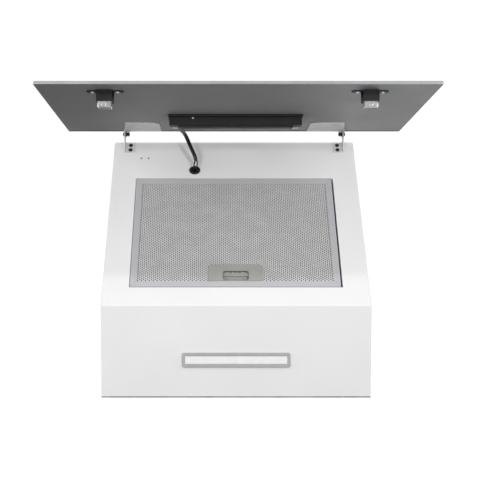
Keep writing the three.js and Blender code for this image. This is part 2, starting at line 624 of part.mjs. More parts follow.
piece(panelFrame, 'glass_panel', glassPanel(), GLASS_GREY);
for (const [name, side] of SIDES) {
  piece(panelFrame, `glass_bracket_${name}`, onSide(glassBracket(), side), ZINC);
  const place = at(side * MAGNET.x, MAGNET.fromHinge, 0);
  piece(panelFrame, `magnet_holder_${name}`, moved(magnetHolder(), place), BLACK_PLASTIC);
  piece(panelFrame, `magnet_${name}`, moved(magnetTip(), place), STEEL);
  [-1, 1].forEach((end, index) => {
    const headSeat = magnetBase + MAGNET_PLATE + GAP;
    const spot = at(side * MAGNET.x + end * MAGNET_SCREW_X, MAGNET.fromHinge, headSeat);
    const length = headSeat - magnetBase;
    piece(panelFrame, `magnet_screw_${name}_${index + 1}`, moved(screw(1.6, 3.2, 2, length), spot), STEEL);
  });
}
piece(panelFrame, 'control_base', controlBase(), BLACK_PLASTIC);
piece(panelFrame, 'control_board', box(-CONTROL_WIDTH.body / 2 + 8, CONTROL_WIDTH.body / 2 - 8,
  controlNear + 8, CONTROL.far - 8, backOfGlass + 2.4, backOfGlass + 4), BOARD_GREEN);
piece(panelFrame, 'control_cover', controlCover(), BLACK_PLASTIC);

// ---------------------------------------------------------------- grease filter
const MITRE = 0.15;
const CORNER_CUT = 3;
const BOLT = { half: 5.5, low: -6.9, high: -5.2, reach: 1.3 };

// One side of the channel frame: x runs along it, y inwards from its outer edge, mitred at both ends.
function frameBar(length, boltHole) {
  const { depth, bar, skin } = FILTER;
  const half = length / 2;
  const channel = vectors([[0, 0], [bar, 0], [bar, -skin], [skin, -skin], [skin, -depth + skin],
    [bar, -depth + skin], [bar, -depth], [0, -depth]]);
  const reach = half - MITRE - CORNER_CUT;
  const mitre = vectors([[-reach, 0], [reach, 0],
    [half - MITRE - bar - 1, bar + 1], [-half + MITRE + bar + 1, bar + 1]]);
  const blank = rail(channel.reverse(), -half, half).intersect(slab(mitre, -depth - 1, 1));
  const hole = box(-BOLT.half - GAP, BOLT.half + GAP, -1, skin + 1, BOLT.low - GAP, BOLT.high + GAP);
  return boltHole ? cut(blank, hole) : blank;
}

const quarter = (turns) => new THREE.Matrix4().makeRotationZ((turns * Math.PI) / 2);
const filterMiddle = (filterTop + filterBottom) / 2;
const BARS = [
  ['bottom', FILTER.width, at(0, filterBottom, 0), 0],
  ['right', FILTER.length, at(filterRight, filterMiddle, 0), 1],
  ['top', FILTER.width, at(0, filterTop, 0), 2],
  ['left', FILTER.length, at(filterLeft, filterMiddle, 0), 3],
];

function filterSheet(z0, z1) {
  const inset = FILTER.skin + GAP;
  const sheet = box(filterLeft + inset, filterRight - inset, filterBottom + inset, filterTop - inset, z0, z1);
  const half = LATCH.width / 2 + GAP;
  return cut(sheet, box(-half, half, filterBottom - 1, latchTop + GAP, z0 - 1, z1 + 1));
}

function latchHousing() {
  const half = LATCH.width / 2;
  const pocketHalf = LATCH.pocketWidth / 2;
  const block = slab(roundedRectangle(-half, half, latchBottom, latchTop, 3), -8.6, -0.2);
  const pocket = slab(roundedRectangle(-pocketHalf, pocketHalf, pocketBottom, pocketTop, 2.5), -7.2, 1);
  const slideWay = box(-pocketHalf, pocketHalf, pocketTop - 4, slideTop, -7.2, -2.2);
  const boltWay = box(-BOLT.half - GAP, BOLT.half + GAP, latchBottom - 1, pocketBottom + 3,
    BOLT.low - GAP, BOLT.high + GAP);
  return cut(block, pocket, slideWay, boltWay);
}

// The finger pad and the bolt below it; it slides up the filter and a spring pushes it back.
function latchSlider() {
  const half = LATCH.pocketWidth / 2 - GAP;
  const padBottom = pocketTop - 8;
  const padTop = pocketTop + 0.5;
  const pad = box(-half, half, padBottom, padTop, BOLT.low, -2.5);
  const lipHalf = half - 2.5;
  const lip = box(-lipHalf, lipHalf, padBottom, padBottom + 2, BOLT.low, -0.9);
  const bolt = box(-BOLT.half, BOLT.half, filterBottom - BOLT.reach, padBottom + 1, BOLT.low, BOLT.high);
  return join(pad, lip, bolt);
}

function latchSpring() {
  const bottom = pocketTop + 0.5 + GAP;
  const top = slideTop - GAP;
  const turns = 4;
  const steps = 40;
  const radius = 1.7;
  const points = [];
  for (let i = 0; i <= steps; i += 1) {
    const angle = (i / steps) * turns * 2 * Math.PI;
    const y = THREE.MathUtils.lerp(bottom + 0.4, top - 0.4, i / steps);
    points.push(new THREE.Vector3(radius * Math.cos(angle), y, -4.7 + radius * Math.sin(angle)));
  }
  return tube(points, 0.35, 6, steps);
}

// A solid cord through the points, with flat ends.
function tube(points, radius, sides, steps) {
  const section = new THREE.Shape();
  for (let i = 0; i < sides; i += 1) {
    const angle = (i / sides) * 2 * Math.PI;
    const corner = [radius * Math.cos(angle), radius * Math.sin(angle)];
    if (i) section.lineTo(...corner);
    else section.moveTo(...corner);
  }
  const extrudePath = new THREE.CatmullRomCurve3(points, false, 'centripetal');
  return solidOf(new THREE.ExtrudeGeometry(section, { extrudePath, steps, bevelEnabled: false }));
}

for (const [name, length, place, turns] of BARS) {
  const bar = moved(frameBar(length, name === 'bottom'), place.clone().multiply(quarter(turns)));
  piece(faceFrame, `filter_frame_${name}`, bar, ALUMINIUM);
}
piece(faceFrame, 'filter_front_mesh', filterSheet(-1.9, -1.1), ALUMINIUM);
piece(faceFrame, 'filter_core', filterSheet(-6.8, -2.2), ALUMINIUM);
piece(faceFrame, 'filter_back_mesh', filterSheet(-7.9, -7.1), ALUMINIUM);
piece(faceFrame, 'latch_housing', latchHousing(), WARM_GREY_PLASTIC);
piece(faceFrame, 'latch_slider', latchSlider(), WARM_GREY_PLASTIC);
piece(faceFrame, 'latch_spring', latchSpring(), STEEL);

// ---------------------------------------------------------------- control cable
// It leaves the control box along the back of the panel, turns back at the hinge and runs into the grommet.
const CABLE_ROUTE = [
  [-94, -446.1, -24.9], [-94, -443.9, -13.1], [-93.4, -440.3, 6.6], [-92.4, -436.7, 28.3],
  [-90.9, -433.8, 46], [-89.2, -431.5, 55.3], [-86.8, -427.3, 62.4], [-84.2, -421.5, 64.3],
  [-80.8, -413.8, 60.7], [-77, -405.3, 56], [-73.1, -397.2, 51.8], [-69.9, -389.2, 49.6],
  [-68.8, -382.1, 49.8], [-69.5, -374.6, 48.9], [-71, -367.6, 50.9], [-71, -362.2, 56.7],
  [-71, -356.5, 63],
];
const cablePoints = CABLE_ROUTE.map((point) => new THREE.Vector3(...point));
piece(hood, 'control_cable', tube(cablePoints, CABLE_RADIUS, 10, 40), BLACK_RUBBER);

export default hood;
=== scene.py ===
"""The visual model of a slanted range hood: its glass panel is open and shows the filter behind it."""

import json
import math

import bmesh
import bpy
from mathutils import Matrix, Vector
from mathutils.geometry import interpolate_bezier


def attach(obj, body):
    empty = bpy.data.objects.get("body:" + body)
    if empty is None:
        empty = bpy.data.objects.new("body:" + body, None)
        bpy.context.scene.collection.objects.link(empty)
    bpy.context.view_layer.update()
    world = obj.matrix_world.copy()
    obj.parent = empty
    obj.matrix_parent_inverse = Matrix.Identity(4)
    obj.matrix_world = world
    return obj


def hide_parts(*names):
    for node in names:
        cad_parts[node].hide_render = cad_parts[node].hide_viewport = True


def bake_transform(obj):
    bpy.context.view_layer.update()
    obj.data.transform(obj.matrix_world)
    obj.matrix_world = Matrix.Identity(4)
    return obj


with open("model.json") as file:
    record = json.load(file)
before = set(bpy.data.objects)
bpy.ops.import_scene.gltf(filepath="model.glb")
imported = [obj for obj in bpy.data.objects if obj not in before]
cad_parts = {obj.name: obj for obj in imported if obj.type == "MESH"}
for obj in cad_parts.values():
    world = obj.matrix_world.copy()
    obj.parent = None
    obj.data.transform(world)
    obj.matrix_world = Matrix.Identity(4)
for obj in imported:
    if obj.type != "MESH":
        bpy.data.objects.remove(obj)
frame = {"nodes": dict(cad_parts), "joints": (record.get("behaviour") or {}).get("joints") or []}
bpy.context.view_layer.update()
NODES = frame["nodes"]
JOINTS = {joint["name"]: joint for joint in frame["joints"]}

# -------------------- frames, in millimetres
MM = 0.001
X = Vector((1, 0, 0))
ROOM = Matrix.Scale(MM, 4)


def axes(origin, x, y, z):
    """The matrix that takes millimetres along these three axes to metres in the shared frame."""
    matrix = Matrix((x, y, z)).transposed().to_4x4() @ Matrix.Scale(MM, 4)
    matrix.translation = origin
    return matrix


def span(node, place=ROOM):
    """The lowest and highest corner of a CAD node along a frame's axes, in millimetres."""
    inverse = place.inverted()
    points = [inverse @ vertex.co for vertex in NODES[node].data.vertices]
    low = Vector([min(p[i] for p in points) for i in range(3)])
    high = Vector([max(p[i] for p in points) for i in range(3)])
    return low, high


def middle_of(node, place=ROOM):
    """The middle of a CAD node along a frame's axes, in millimetres."""
    low, high = span(node, place)
    return (low + high) / 2


UP_FACE = Vector(JOINTS["latch_slide"]["axis"]).normalized()
OUT = X.cross(UP_FACE)
FOLD_Y = -151.0
FLOOR_Z = span("front_shell")[0].z
FACE = axes(Vector((0, FOLD_Y, FLOOR_Z)) * MM, X, UP_FACE, OUT)

OPEN_ANGLE = math.radians(57)
PIVOT = Vector(JOINTS["panel_hinge"]["pos_m"])
PANEL_DOWN = Matrix.Rotation(-OPEN_ANGLE, 3, X) @ -UP_FACE
PANEL = axes(PIVOT, X, PANEL_DOWN, X.cross(PANEL_DOWN))


# -------------------- meshes
def mesh_of(build):
    """A new mesh from what build puts into an empty bmesh, with its faces turned outwards."""
    bm = bmesh.new()
    build(bm)
    bmesh.ops.recalc_face_normals(bm, faces=bm.faces)
    mesh = bpy.data.meshes.new("shape")
    bm.to_mesh(mesh)
    bm.free()
    return mesh


def ring(bm, points):
    """New vertices at the points."""
    return [bm.verts.new(point) for point in points]


def bridge(bm, a, b):
    """Joins two closed rings of the same count with a band of faces."""
    for i in range(len(a)):
        j = (i + 1) % len(a)
        bm.faces.new((a[i], a[j], b[j], b[i]))


SHARP_ANGLE = math.radians(30)
FLAT_ANGLE = math.radians(1)


def soften(bm, width, segments):
    """Rounds every edge that turns by more than the sharp angle."""
    edges = [e for e in bm.edges if len(e.link_faces) == 2 and e.calc_face_angle(0) > SHARP_ANGLE]
    bmesh.ops.bevel(bm, geom=edges, offset=width, segments=segments, profile=0.5,
                    affect="EDGES", clamp_overlap=True)


def rectangle(x0, x1, y0, y1, radius=0.0, steps=6):
    """A closed outline, anticlockwise, with rounded corners."""
    if not radius:
        return [(x0, y0), (x1, y0), (x1, y1), (x0, y1)]
    points = []
    corners = [(x1, y0, -90), (x1, y1, 0), (x0, y1, 90), (x0, y0, 180)]
    for cx, cy, start in corners:
        ox = cx - math.copysign(radius, cx - (x0 + x1) / 2)
        oy = cy - math.copysign(radius, cy - (y0 + y1) / 2)
        for i in range(steps + 1):
            angle = math.radians(start + 90 * i / steps)
            points.append((ox + radius * math.cos(angle), oy + radius * math.sin(angle)))
    return points


def circle(x, y, radius, steps=32):
    """A closed round outline, anticlockwise."""
    turn = 2 * math.pi / steps
    return [(x + radius * math.cos(i * turn), y + radius * math.sin(i * turn)) for i in range(steps)]


def add_plate(bm, loops, low, high):
    """A flat plate between two heights. The first loop is its outline and the others are holes."""
    edges = []
    for loop in loops:
        corners = ring(bm, [(x, y, low) for x, y in loop])
        for i, corner in enumerate(corners):
            edges.append(bm.edges.new((corner, corners[(i + 1) % len(corners)])))
    filled = bmesh.ops.triangle_fill(bm, use_beauty=True, use_dissolve=False, edges=edges)
    faces = [g for g in filled["geom"] if isinstance(g, bmesh.types.BMFace)]
    raised = bmesh.ops.extrude_face_region(bm, geom=faces, use_keep_orig=True)
    moved = [g for g in raised["geom"] if isinstance(g, bmesh.types.BMVert)]
    bmesh.ops.translate(bm, verts=moved, vec=(0, 0, high - low))


def plate(loops, low, high, bevel=0.0, segments=2):
    """A flat plate as a mesh, with its edges rounded by the bevel."""
    def build(bm):
        add_plate(bm, loops, low, high)
        bmesh.ops.dissolve_limit(bm, angle_limit=FLAT_ANGLE, verts=bm.verts, edges=bm.edges)
        if bevel:
            soften(bm, bevel, segments)
    return mesh_of(build)


POINT_RADIUS = 1e-6


def lathe(profile, steps=40):
    """Turns (radius, height) points round the local Z axis."""
    def build(bm):
        rings = []
        for radius, height in profile:
            if radius < POINT_RADIUS:
                rings.append(ring(bm, [(0, 0, height)]))
            else:
                rings.append(ring(bm, [(x, y, height) for x, y in circle(0, 0, radius, steps)]))
        for a, b in zip(rings, rings[1:]):
            if len(a) == len(b):
                bridge(bm, a, b)
                continue
            for i in range(steps):
                j = (i + 1) % steps
                if len(a) == 1:
                    bm.faces.new((a[0], b[j], b[i]))
                else:
                    bm.faces.new((a[i], a[j], b[0]))
    return mesh_of(build)


def tube(points, radius, sides=16):
    """A round tube along the points, with flat ends. Radius is a number, or a function of the share along."""
    along = [Vector(p) for p in points]
    size = radius if callable(radius) else (lambda share: radius)

    def build(bm):
        side = Vector((1, 0, 0))
        rings = []
        for i, point in enumerate(along):
            ahead = along[min(i + 1, len(along) - 1)] - along[max(i - 1, 0)]
            ahead.normalize()
            side = (side - ahead * side.dot(ahead)).normalized()
            other = ahead.cross(side)
            r = size(i / (len(along) - 1))
            rings.append(ring(bm, [point + side * x + other * y for x, y in circle(0, 0, r, sides)]))
        for a, b in zip(rings, rings[1:]):
            bridge(bm, a, b)
        bm.faces.new(rings[0])
        bm.faces.new(rings[-1])
    return mesh_of(build)


SMOOTH_STEPS = 8


def smooth_line(points, steps=SMOOTH_STEPS):
    """A smooth line through the points, evenly divided between each two."""
    along = [Vector(p) for p in points]
    line = []
    for i in range(len(along) - 1):
        before = along[max(i - 1, 0)]
        a, b = along[i], along[i + 1]
        after = along[min(i + 2, len(along) - 1)]
        handle_a = a + (b - before) / 6
        handle_b = b - (after - a) / 6
        line += interpolate_bezier(a, handle_a, handle_b, b, steps + 1)[:-1]
    return line + [along[-1]]


def joined(*meshes):
    """One mesh from several, which are used up."""
    bm = bmesh.new()
    for mesh in meshes:
        bm.from_mesh(mesh)
        bpy.data.meshes.remove(mesh)
    result = bpy.data.meshes.new("shape")
    bm.to_mesh(result)
    bm.free()
    return result


def moved(mesh, matrix):
    """The mesh itself, after the matrix moved it."""
    mesh.transform(matrix)
    return mesh


def at(x, y, z):
    """The matrix that moves by these millimetres."""
    return Matrix.Translation((x, y, z))


def combined(mesh, other, operation):
    """The boolean result of two meshes."""
    holders = []
    for data in (mesh, other):
        holder = bpy.data.objects.new("cutter", data)
        bpy.context.scene.collection.objects.link(holder)
        holders.append(holder)
    modifier = holders[0].modifiers.new("cut", "BOOLEAN")
    modifier.object = holders[1]
    modifier.operation = operation
    modifier.solver = "EXACT"
    bpy.context.view_layer.update()
    evaluated = holders[0].evaluated_get(bpy.context.evaluated_depsgraph_get())
    result = bpy.data.meshes.new_from_object(evaluated)
    for holder in holders:
        bpy.data.objects.remove(holder)
    bpy.data.meshes.remove(mesh)
    bpy.data.meshes.remove(other)
    return result


# -------------------- pieces
def piece(name, mesh, body, material, replaces=(), place=ROOM, sharp=35):
    """Puts a mesh made in a frame's millimetres into the shared frame, on a body."""
    mesh.transform(place)
    mesh.name = name
    if mesh.materials:
        mesh.materials.clear()
    for each in material if isinstance(material, (list, tuple)) else [material]:
        mesh.materials.append(each)
    for polygon in mesh.polygons:
        polygon.use_smooth = True
    mesh.set_sharp_from_angle(angle=math.radians(sharp))
    obj = bpy.data.objects.new(name, mesh)
    bpy.context.scene.collection.objects.link(obj)
    if body:
        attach(obj, body)
    if replaces:
        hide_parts(*replaces)
    return obj


WELD_DISTANCE = 1e-6


def refine(node, material, width):
    """Keeps a CAD node's shape, rounds its edges and gives it a material."""
    obj = NODES[node]
    weld = obj.modifiers.new("weld", "WELD")
    weld.merge_threshold = WELD_DISTANCE
    flat = obj.modifiers.new("flat", "DECIMATE")
    flat.decimate_type = "DISSOLVE"
    flat.angle_limit = FLAT_ANGLE
    if width:
        bevel = obj.modifiers.new("round", "BEVEL")
        bevel.width = width * MM
        bevel.segments = 2
        bevel.limit_method = "ANGLE"
        bevel.angle_limit = SHARP_ANGLE
    obj.data.materials.clear()
    obj.data.materials.append(material)
    for polygon in obj.data.polygons:
        polygon.use_smooth = True
    obj.modifiers.new("shade", "WEIGHTED_NORMAL").keep_sharp = False


# -------------------- materials
def srgb(red, green, blue):
    """A display colour from 0 to 255 as linear light."""
    def linear(value):
        share = value / 255
        return share / 12.92 if share <= 0.04045 else ((share + 0.055) / 1.055) ** 2.4
    return tuple(linear(value) for value in (red, green, blue))


class Finish:
    """A node-based material, laid out in the shared frame's metres."""

    def __init__(self, name, roughness, metallic=0.0, **sockets):
        self.material = bpy.data.materials.new(name)
        self.material.use_nodes = True
        tree = self.material.node_tree
        self.nodes = tree.nodes
        self.links = tree.links
        self.shader = next(node for node in self.nodes if node.type == "BSDF_PRINCIPLED")
        self.shader.inputs["Roughness"].default_value = roughness
        self.shader.inputs["Metallic"].default_value = metallic
        for socket, value in sockets.items():
            self.shader.inputs[socket.replace("_", " ")].default_value = value
        self.place = self.nodes.new("ShaderNodeTexCoord").outputs["Object"]

    def add(self, kind, **settings):
        node = self.nodes.new("ShaderNode" + kind)
        for name, value in settings.items():
            setattr(node, name, value)
        return node

    def stretched(self, scale):
        """The place with each axis scaled, for grain along one direction."""
        mapping = self.add("Mapping")
        mapping.inputs["Scale"].default_value = scale
        self.links.new(self.place, mapping.inputs["Vector"])
        return mapping.outputs["Vector"]

    def noise(self, size, detail=2.0, place=None):
        """Noise with features of about that size in metres, from 0 to 1."""
        node = self.add("TexNoise")
        node.inputs["Scale"].default_value = 1 / size
        node.inputs["Detail"].default_value = detail
        self.links.new(place or self.place, node.inputs["Vector"])
        return node.outputs["Fac"]

    def cells(self, size, output="Color"):
        """One value for each of many cells of about that size in metres."""
        node = self.add("TexVoronoi")
        node.inputs["Scale"].default_value = 1 / size
        self.links.new(self.place, node.inputs["Vector"])
        return node.outputs[output]

    def ranged(self, value, low, high, start=0.3, end=0.7):
        """A value moved to the range from low to high."""
        node = self.add("MapRange")
        for name, number in (("From Min", start), ("From Max", end), ("To Min", low), ("To Max", high)):
            node.inputs[name].default_value = number
        self.links.new(value, node.inputs["Value"])
        return node.outputs["Result"]

    def between(self, share, a, b):
        """A colour between two, by a share from 0 to 1. Either can be a socket."""
        node = self.add("Mix", data_type="RGBA")
        sockets = [s for s in node.inputs if s.type == "RGBA"]
        for socket, colour in zip(sockets, (a, b)):
            if isinstance(colour, tuple):
                socket.default_value = (*colour, 1)
            else:
                self.links.new(colour, socket)
        self.links.new(share, node.inputs["Factor"])
        return next(s for s in node.outputs if s.type == "RGBA")

    def colour(self, source):
        self.links.new(source, self.shader.inputs["Base Color"])
        return self

    def rough(self, source):
        self.links.new(source, self.shader.inputs["Roughness"])
        return self

    def bump(self, height, depth):
        """Raises the surface by a height that runs to that depth in metres."""
        node = self.add("Bump")
        node.inputs["Distance"].default_value = depth
        self.links.new(height, node.inputs["Height"])
        self.links.new(node.outputs["Normal"], self.shader.inputs["Normal"])
        return self


def mottled(name, dark, light, patch, roughness, grain, depth, metallic=0.0, spread=0.05, **sockets):
    """Two close colours in soft patches, with a fine grain in the surface."""
    finish = Finish(name, roughness, metallic, **sockets)
    patches = finish.noise(patch, detail=3)
    finish.colour(finish.between(finish.ranged(patches, 0, 1), dark, light))
    finish.rough(finish.ranged(finish.noise(patch * 0.6), roughness - spread, roughness + spread))
    finish.bump(finish.noise(grain, detail=1), depth)
    return finish.material


def brushed(name, dark, light, along, roughness, metallic):
    """Metal with fine scratches along one axis: along is each axis's stretch, small along the grain."""
    finish = Finish(name, roughness, metallic)
    place = finish.stretched(along)
    grain = finish.noise(0.0006, detail=4, place=place)
    finish.colour(finish.between(finish.ranged(grain, 0, 1), dark, light))
    finish.rough(finish.ranged(finish.noise(0.0012, place=place), roughness - 0.07, roughness + 0.07))
    finish.bump(grain, 0.00002)
    return finish.material


def spangled(name, dark, light, size, roughness):
    """Hot-dip zinc: flat crystals that each take the light in their own way."""
    finish = Finish(name, roughness, 0.85)
    crystals = finish.cells(size)
    value = finish.add("SeparateColor")
    finish.links.new(crystals, value.inputs["Color"])
    share = value.outputs["Red"]
    finish.colour(finish.between(share, dark, light))
    finish.rough(finish.ranged(value.outputs["Green"], roughness - 0.1, roughness + 0.1, 0, 1))
    finish.bump(finish.noise(0.0008, detail=2), 0.00001)
    return finish.material


def woven(name, dark, light, pitch, roughness, metallic):
    """Layers of expanded foil, as fine open cells."""
    finish = Finish(name, roughness, metallic)
    gaps = finish.cells(pitch, "Distance")
    share = finish.ranged(gaps, 0, 1, 0.15, 0.6)
    finish.colour(finish.between(share, dark, light))
    finish.bump(gaps, pitch * 0.4)
    return finish.material


def striped(name, dark, light, pitch, roughness):
    """Laminated steel, as thin sheets stacked along X."""
    finish = Finish(name, roughness, 0.8)
    wave = finish.add("TexWave")
    wave.inputs["Scale"].default_value = 1 / pitch
    wave.inputs["Distortion"].default_value = 0.4
    finish.links.new(finish.place, wave.inputs["Vector"])
    finish.colour(finish.between(wave.outputs["Fac"], dark, light))
    finish.bump(wave.outputs["Fac"], 0.0001)
    return finish.material


WHITE_PAINT = mottled("white_paint", (0.82, 0.82, 0.825), (0.85, 0.85, 0.855), 0.12, 0.34, 0.0011, 0.000012)
ZINC = spangled("zinc_steel", (0.40, 0.41, 0.42), (0.58, 0.59, 0.60), 0.011, 0.42)
ALONG_X = (0.02, 1, 1)
ALUMINIUM = brushed("aluminium", (0.50, 0.50, 0.52), (0.56, 0.56, 0.585), ALONG_X, 0.45, 0.15)
ALUMINIUM_UP = brushed("aluminium_up", (0.49, 0.49, 0.51), (0.55, 0.55, 0.575), (1, 0.03, 0.03), 0.45, 0.15)
MESH_SHEET = mottled("mesh_sheet", (0.67, 0.67, 0.67), (0.75, 0.75, 0.75), 0.02, 0.4, 0.0008, 0.00001, 0.15)
# The foil core is coloured near black, far darker than bare aluminium foil. This is painted shade for the
# dark gaps seen through the sheet's holes and past the bar lips.
FOIL_PAINTED_SHADE = woven("foil_core_painted_shade", (0.006, 0.006, 0.007), (0.045, 0.045, 0.046), 0.0022, 0.55, 0.3)
STEEL = brushed("bright_steel", (0.50, 0.50, 0.51), (0.68, 0.68, 0.69), (1, 1, 0.06), 0.3, 0.9)
PLATED = mottled("plated_steel", (0.62, 0.62, 0.63), (0.76, 0.76, 0.77), 0.01, 0.38, 0.0007, 0.00002, 0.4)
PALE_ZINC = mottled("pale_zinc", (0.72, 0.72, 0.73), (0.80, 0.80, 0.81), 0.01, 0.45, 0.0007, 0.00002, 0.2)
BLACK_STEEL = mottled("black_steel", (0.02, 0.02, 0.021), (0.05, 0.05, 0.052), 0.004, 0.35, 0.0006, 0.00002,
                      0.4)
CHROME = mottled("magnet_cap", (0.68, 0.68, 0.69), (0.85, 0.85, 0.86), 0.006, 0.16, 0.002, 0.00001, 0.95)
BLACK_PLASTIC = mottled("black_plastic", (0.006, 0.006, 0.0065), (0.010, 0.010, 0.0105), 0.02, 0.5, 0.0006,
                        0.00003, Specular_IOR_Level=0.35)
RUBBER = mottled("black_rubber", (0.006, 0.006, 0.006), (0.014, 0.014, 0.014), 0.006, 0.5, 0.0007, 0.00002)
SHEATH = mottled("cable_sheath", (0.006, 0.006, 0.006), (0.012, 0.012, 0.012), 0.01, 0.3, 0.0009, 0.00003)
BOOT = mottled("cable_boot", (0.13, 0.13, 0.13), (0.22, 0.22, 0.22), 0.003, 0.5, 0.0006, 0.0001)
WARM_GREY = mottled("warm_grey_plastic", srgb(152, 153, 148), srgb(158, 159, 154), 0.02, 0.45, 0.0005,
                    0.00002)
SILVER = mottled("silver_plastic", srgb(184, 184, 185), srgb(191, 191, 192), 0.015, 0.36, 0.0005, 0.00001,
                 0.25)
FROSTED = mottled("diffuser", (0.86, 0.86, 0.86), (0.92, 0.92, 0.92), 0.01, 0.5, 0.0016, 0.0001)
BOARD = mottled("circuit_board", (0.01, 0.07, 0.03), (0.015, 0.11, 0.045), 0.004, 0.4, 0.0015, 0.00008)
GREY_PLASTIC = mottled("grey_plastic", (0.20, 0.20, 0.205), (0.25, 0.25, 0.255), 0.02, 0.5, 0.0006, 0.00003)
MOTOR_STEEL = striped("motor_steel", (0.12, 0.12, 0.125), (0.24, 0.24, 0.25), 0.0012, 0.45)
GREY_BACK = mottled("grey_back", (0.32, 0.32, 0.323), (0.35, 0.35, 0.353), 0.09, 0.6, 0.0009, 0.00001,
                    Specular_IOR_Level=0.25)
# A dark grey strip along the hinge edge of the panel's back: painted shade for the arris there, which lies in
# shadow.
HINGE_SHADE_STRIP = mottled("hinge_shade_strip", (0.09, 0.09, 0.092), (0.12, 0.12, 0.122), 0.02, 0.55, 0.0006, 0.00002)
GLASS_EDGE = mottled("glass_edge", srgb(157, 161, 163), srgb(167, 171, 173), 0.03, 0.3, 0.0006, 0.00002)
GLASS_FRONT = mottled("white_glass", (0.78, 0.79, 0.79), (0.80, 0.81, 0.81), 0.2, 0.06, 0.4, 0.00001,
                      spread=0.02, Coat_Weight=0.5, Coat_Roughness=0.02)
MARK = mottled("printed_mark", (0.16, 0.16, 0.165), (0.20, 0.20, 0.205), 0.01, 0.4, 0.0006, 0.00001)


# -------------------- camera
CAMERA_TILT = math.radians(4.7)
CAMERA_PLACE = (-0.031, -0.389, FLOOR_Z * MM - 1.583)
CAMERA_SENSOR = 36
CAMERA_LENS = 74.56
CAMERA_SHIFT = 0.046
VIEW_LIMIT = 60


def make_camera():
    """Below the hood, looking almost straight up with the room behind."""
    tilt = CAMERA_TILT
    up = Vector((0, -math.cos(tilt), math.sin(tilt)))
    back = Vector((0, -math.sin(tilt), -math.cos(tilt)))
    data = bpy.data.cameras.new("camera")
    data.sensor_width = CAMERA_SENSOR
    data.lens = CAMERA_LENS
    data.shift_x = CAMERA_SHIFT
    data.clip_end = VIEW_LIMIT
    camera = bpy.data.objects.new("camera", data)
    camera.matrix_world = Matrix((X, up, back)).transposed().to_4x4()
    camera.location = CAMERA_PLACE
    bpy.context.scene.collection.objects.link(camera)
    bpy.context.scene.camera = camera


make_camera()

# -------------------- control cable
CABLE_RADIUS = 3.4
CABLE_ROUTE = [
    (-94, -446.1, -24.9), (-94, -443.9, -13.1), (-93.4, -440.3, 6.6), (-92.4, -436.7, 28.3),
    (-90.9, -433.8, 46), (-89.2, -431.5, 55.3), (-86.8, -427.3, 62.4), (-84.2, -421.5, 64.3),
    (-80.8, -413.8, 60.7), (-77, -405.3, 56), (-73.1, -397.2, 51.8), (-69.9, -389.2, 49.6),
    (-68.8, -382.1, 49.8), (-69.5, -374.6, 48.9), (-71, -367.6, 50.9), (-71, -362.2, 56.7),
    (-71, -356.5, 63),
]
SHEATH_SHARE = 0.745
WIRE_RADIUS = 1.2
WIRE_ANGLES = (25, 155, 205, 335)
BOOT_POINTS = 4
BOOT_ROOT = 5.4
BOOT_TIP = 4.0
BOOT_RIBS = 9
RIB_HEIGHT = 0.35
TIP_SHARE = 0.97
TIP_SCALE = 0.85
WIRE_SPREAD = 1.3
WIRE_BULGE = 1.7
WIRE_GATHER = 1.6
WIRE_OVERLAP = 3


def control_cable():
    """A sheathed lead that crosses the hinge. Its wires come out of the sheath before the grommet."""
    line = smooth_line(CABLE_ROUTE)
    end = round(SHEATH_SHARE * (len(line) - 1))
    sheath = tube(line[:end + 1], lambda share: CABLE_RADIUS * (1 if share < TIP_SHARE else TIP_SCALE))
    parts = [sheath]
    tail = line[end - WIRE_OVERLAP:]
    for degrees in WIRE_ANGLES:
        angle = math.radians(degrees)
        strand = []
        for i, point in enumerate(tail):
            share = i / (len(tail) - 1)
            away = WIRE_SPREAD + WIRE_BULGE * math.sin(math.pi * min(share * WIRE_GATHER, 1))
            strand.append(point + Vector((away * math.cos(angle), away * math.sin(angle), 0)))
        parts.append(tube(strand, WIRE_RADIUS, 10))
    cable = piece("control_cable_sheath", joined(*parts), None, SHEATH, ["control_cable"])

    def ribbed(share):
        """The boot's radius: it tapers, with ribs round it."""
        rib = RIB_HEIGHT * math.cos(share * BOOT_RIBS * 2 * math.pi)
        return BOOT_ROOT + (BOOT_TIP - BOOT_ROOT) * share + rib

    boot = piece("cable_boot", tube(smooth_line(CABLE_ROUTE[:BOOT_POINTS], 24), ribbed, 20), "panel", BOOT)
    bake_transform(cable)


control_cable()


# -------------------- folded body
SHEET = 1.2
SIDE_FRAME = axes(Vector((0, 0, 0)), Vector((0, 1, 0)), Vector((0, 0, 1)), X)
SIDE_RADIUS = 3.0
FOLD_RADIUS = 1.2
FILTER_CLEARANCE = 1.7
RETURN_DEPTH = 9
RETURN_CORNER = 1.5
RETURN_TOP = -0.5
OPENING_CORNER = 0.8
CUT_LOW, CUT_HIGH = -40, 20
LIGHT_LAP = 3
LIGHT_CORNER = 2
LIGHT_CUT_LOW, LIGHT_CUT_HIGH = -20, 12
OVERHANG = 20
GROMMET_HOLE = 8
SENSOR_RADIUS = 1.8
SENSORS = ((-168, 322), (-155, 322))


def inset(outline, distance):
    """The anticlockwise outline moved inwards by a distance."""
    result = []
    for i, corner in enumerate(outline):
        before, here = Vector(outline[i - 1]), Vector(corner)
        after = Vector(outline[(i + 1) % len(outline)])
        a, b = (here - before).normalized(), (after - here).normalized()
        inward = Vector((-a.y, a.x)) + Vector((-b.y, b.x))
        result.append(tuple(here + inward * (distance / (1 + a.dot(b)))))
    return result


def body_outline():
    """The body's side view, as (depth, height) points from the bottom corner at the wall."""
    low, high = span("front_shell")
    crest_z = FLOOR_Z + (FOLD_Y - low.y) * -UP_FACE.z / UP_FACE.y
    return [(high.y, FLOOR_Z), (high.y, high.z), (low.y, high.z), (low.y, crest_z), (FOLD_Y, FLOOR_Z)]


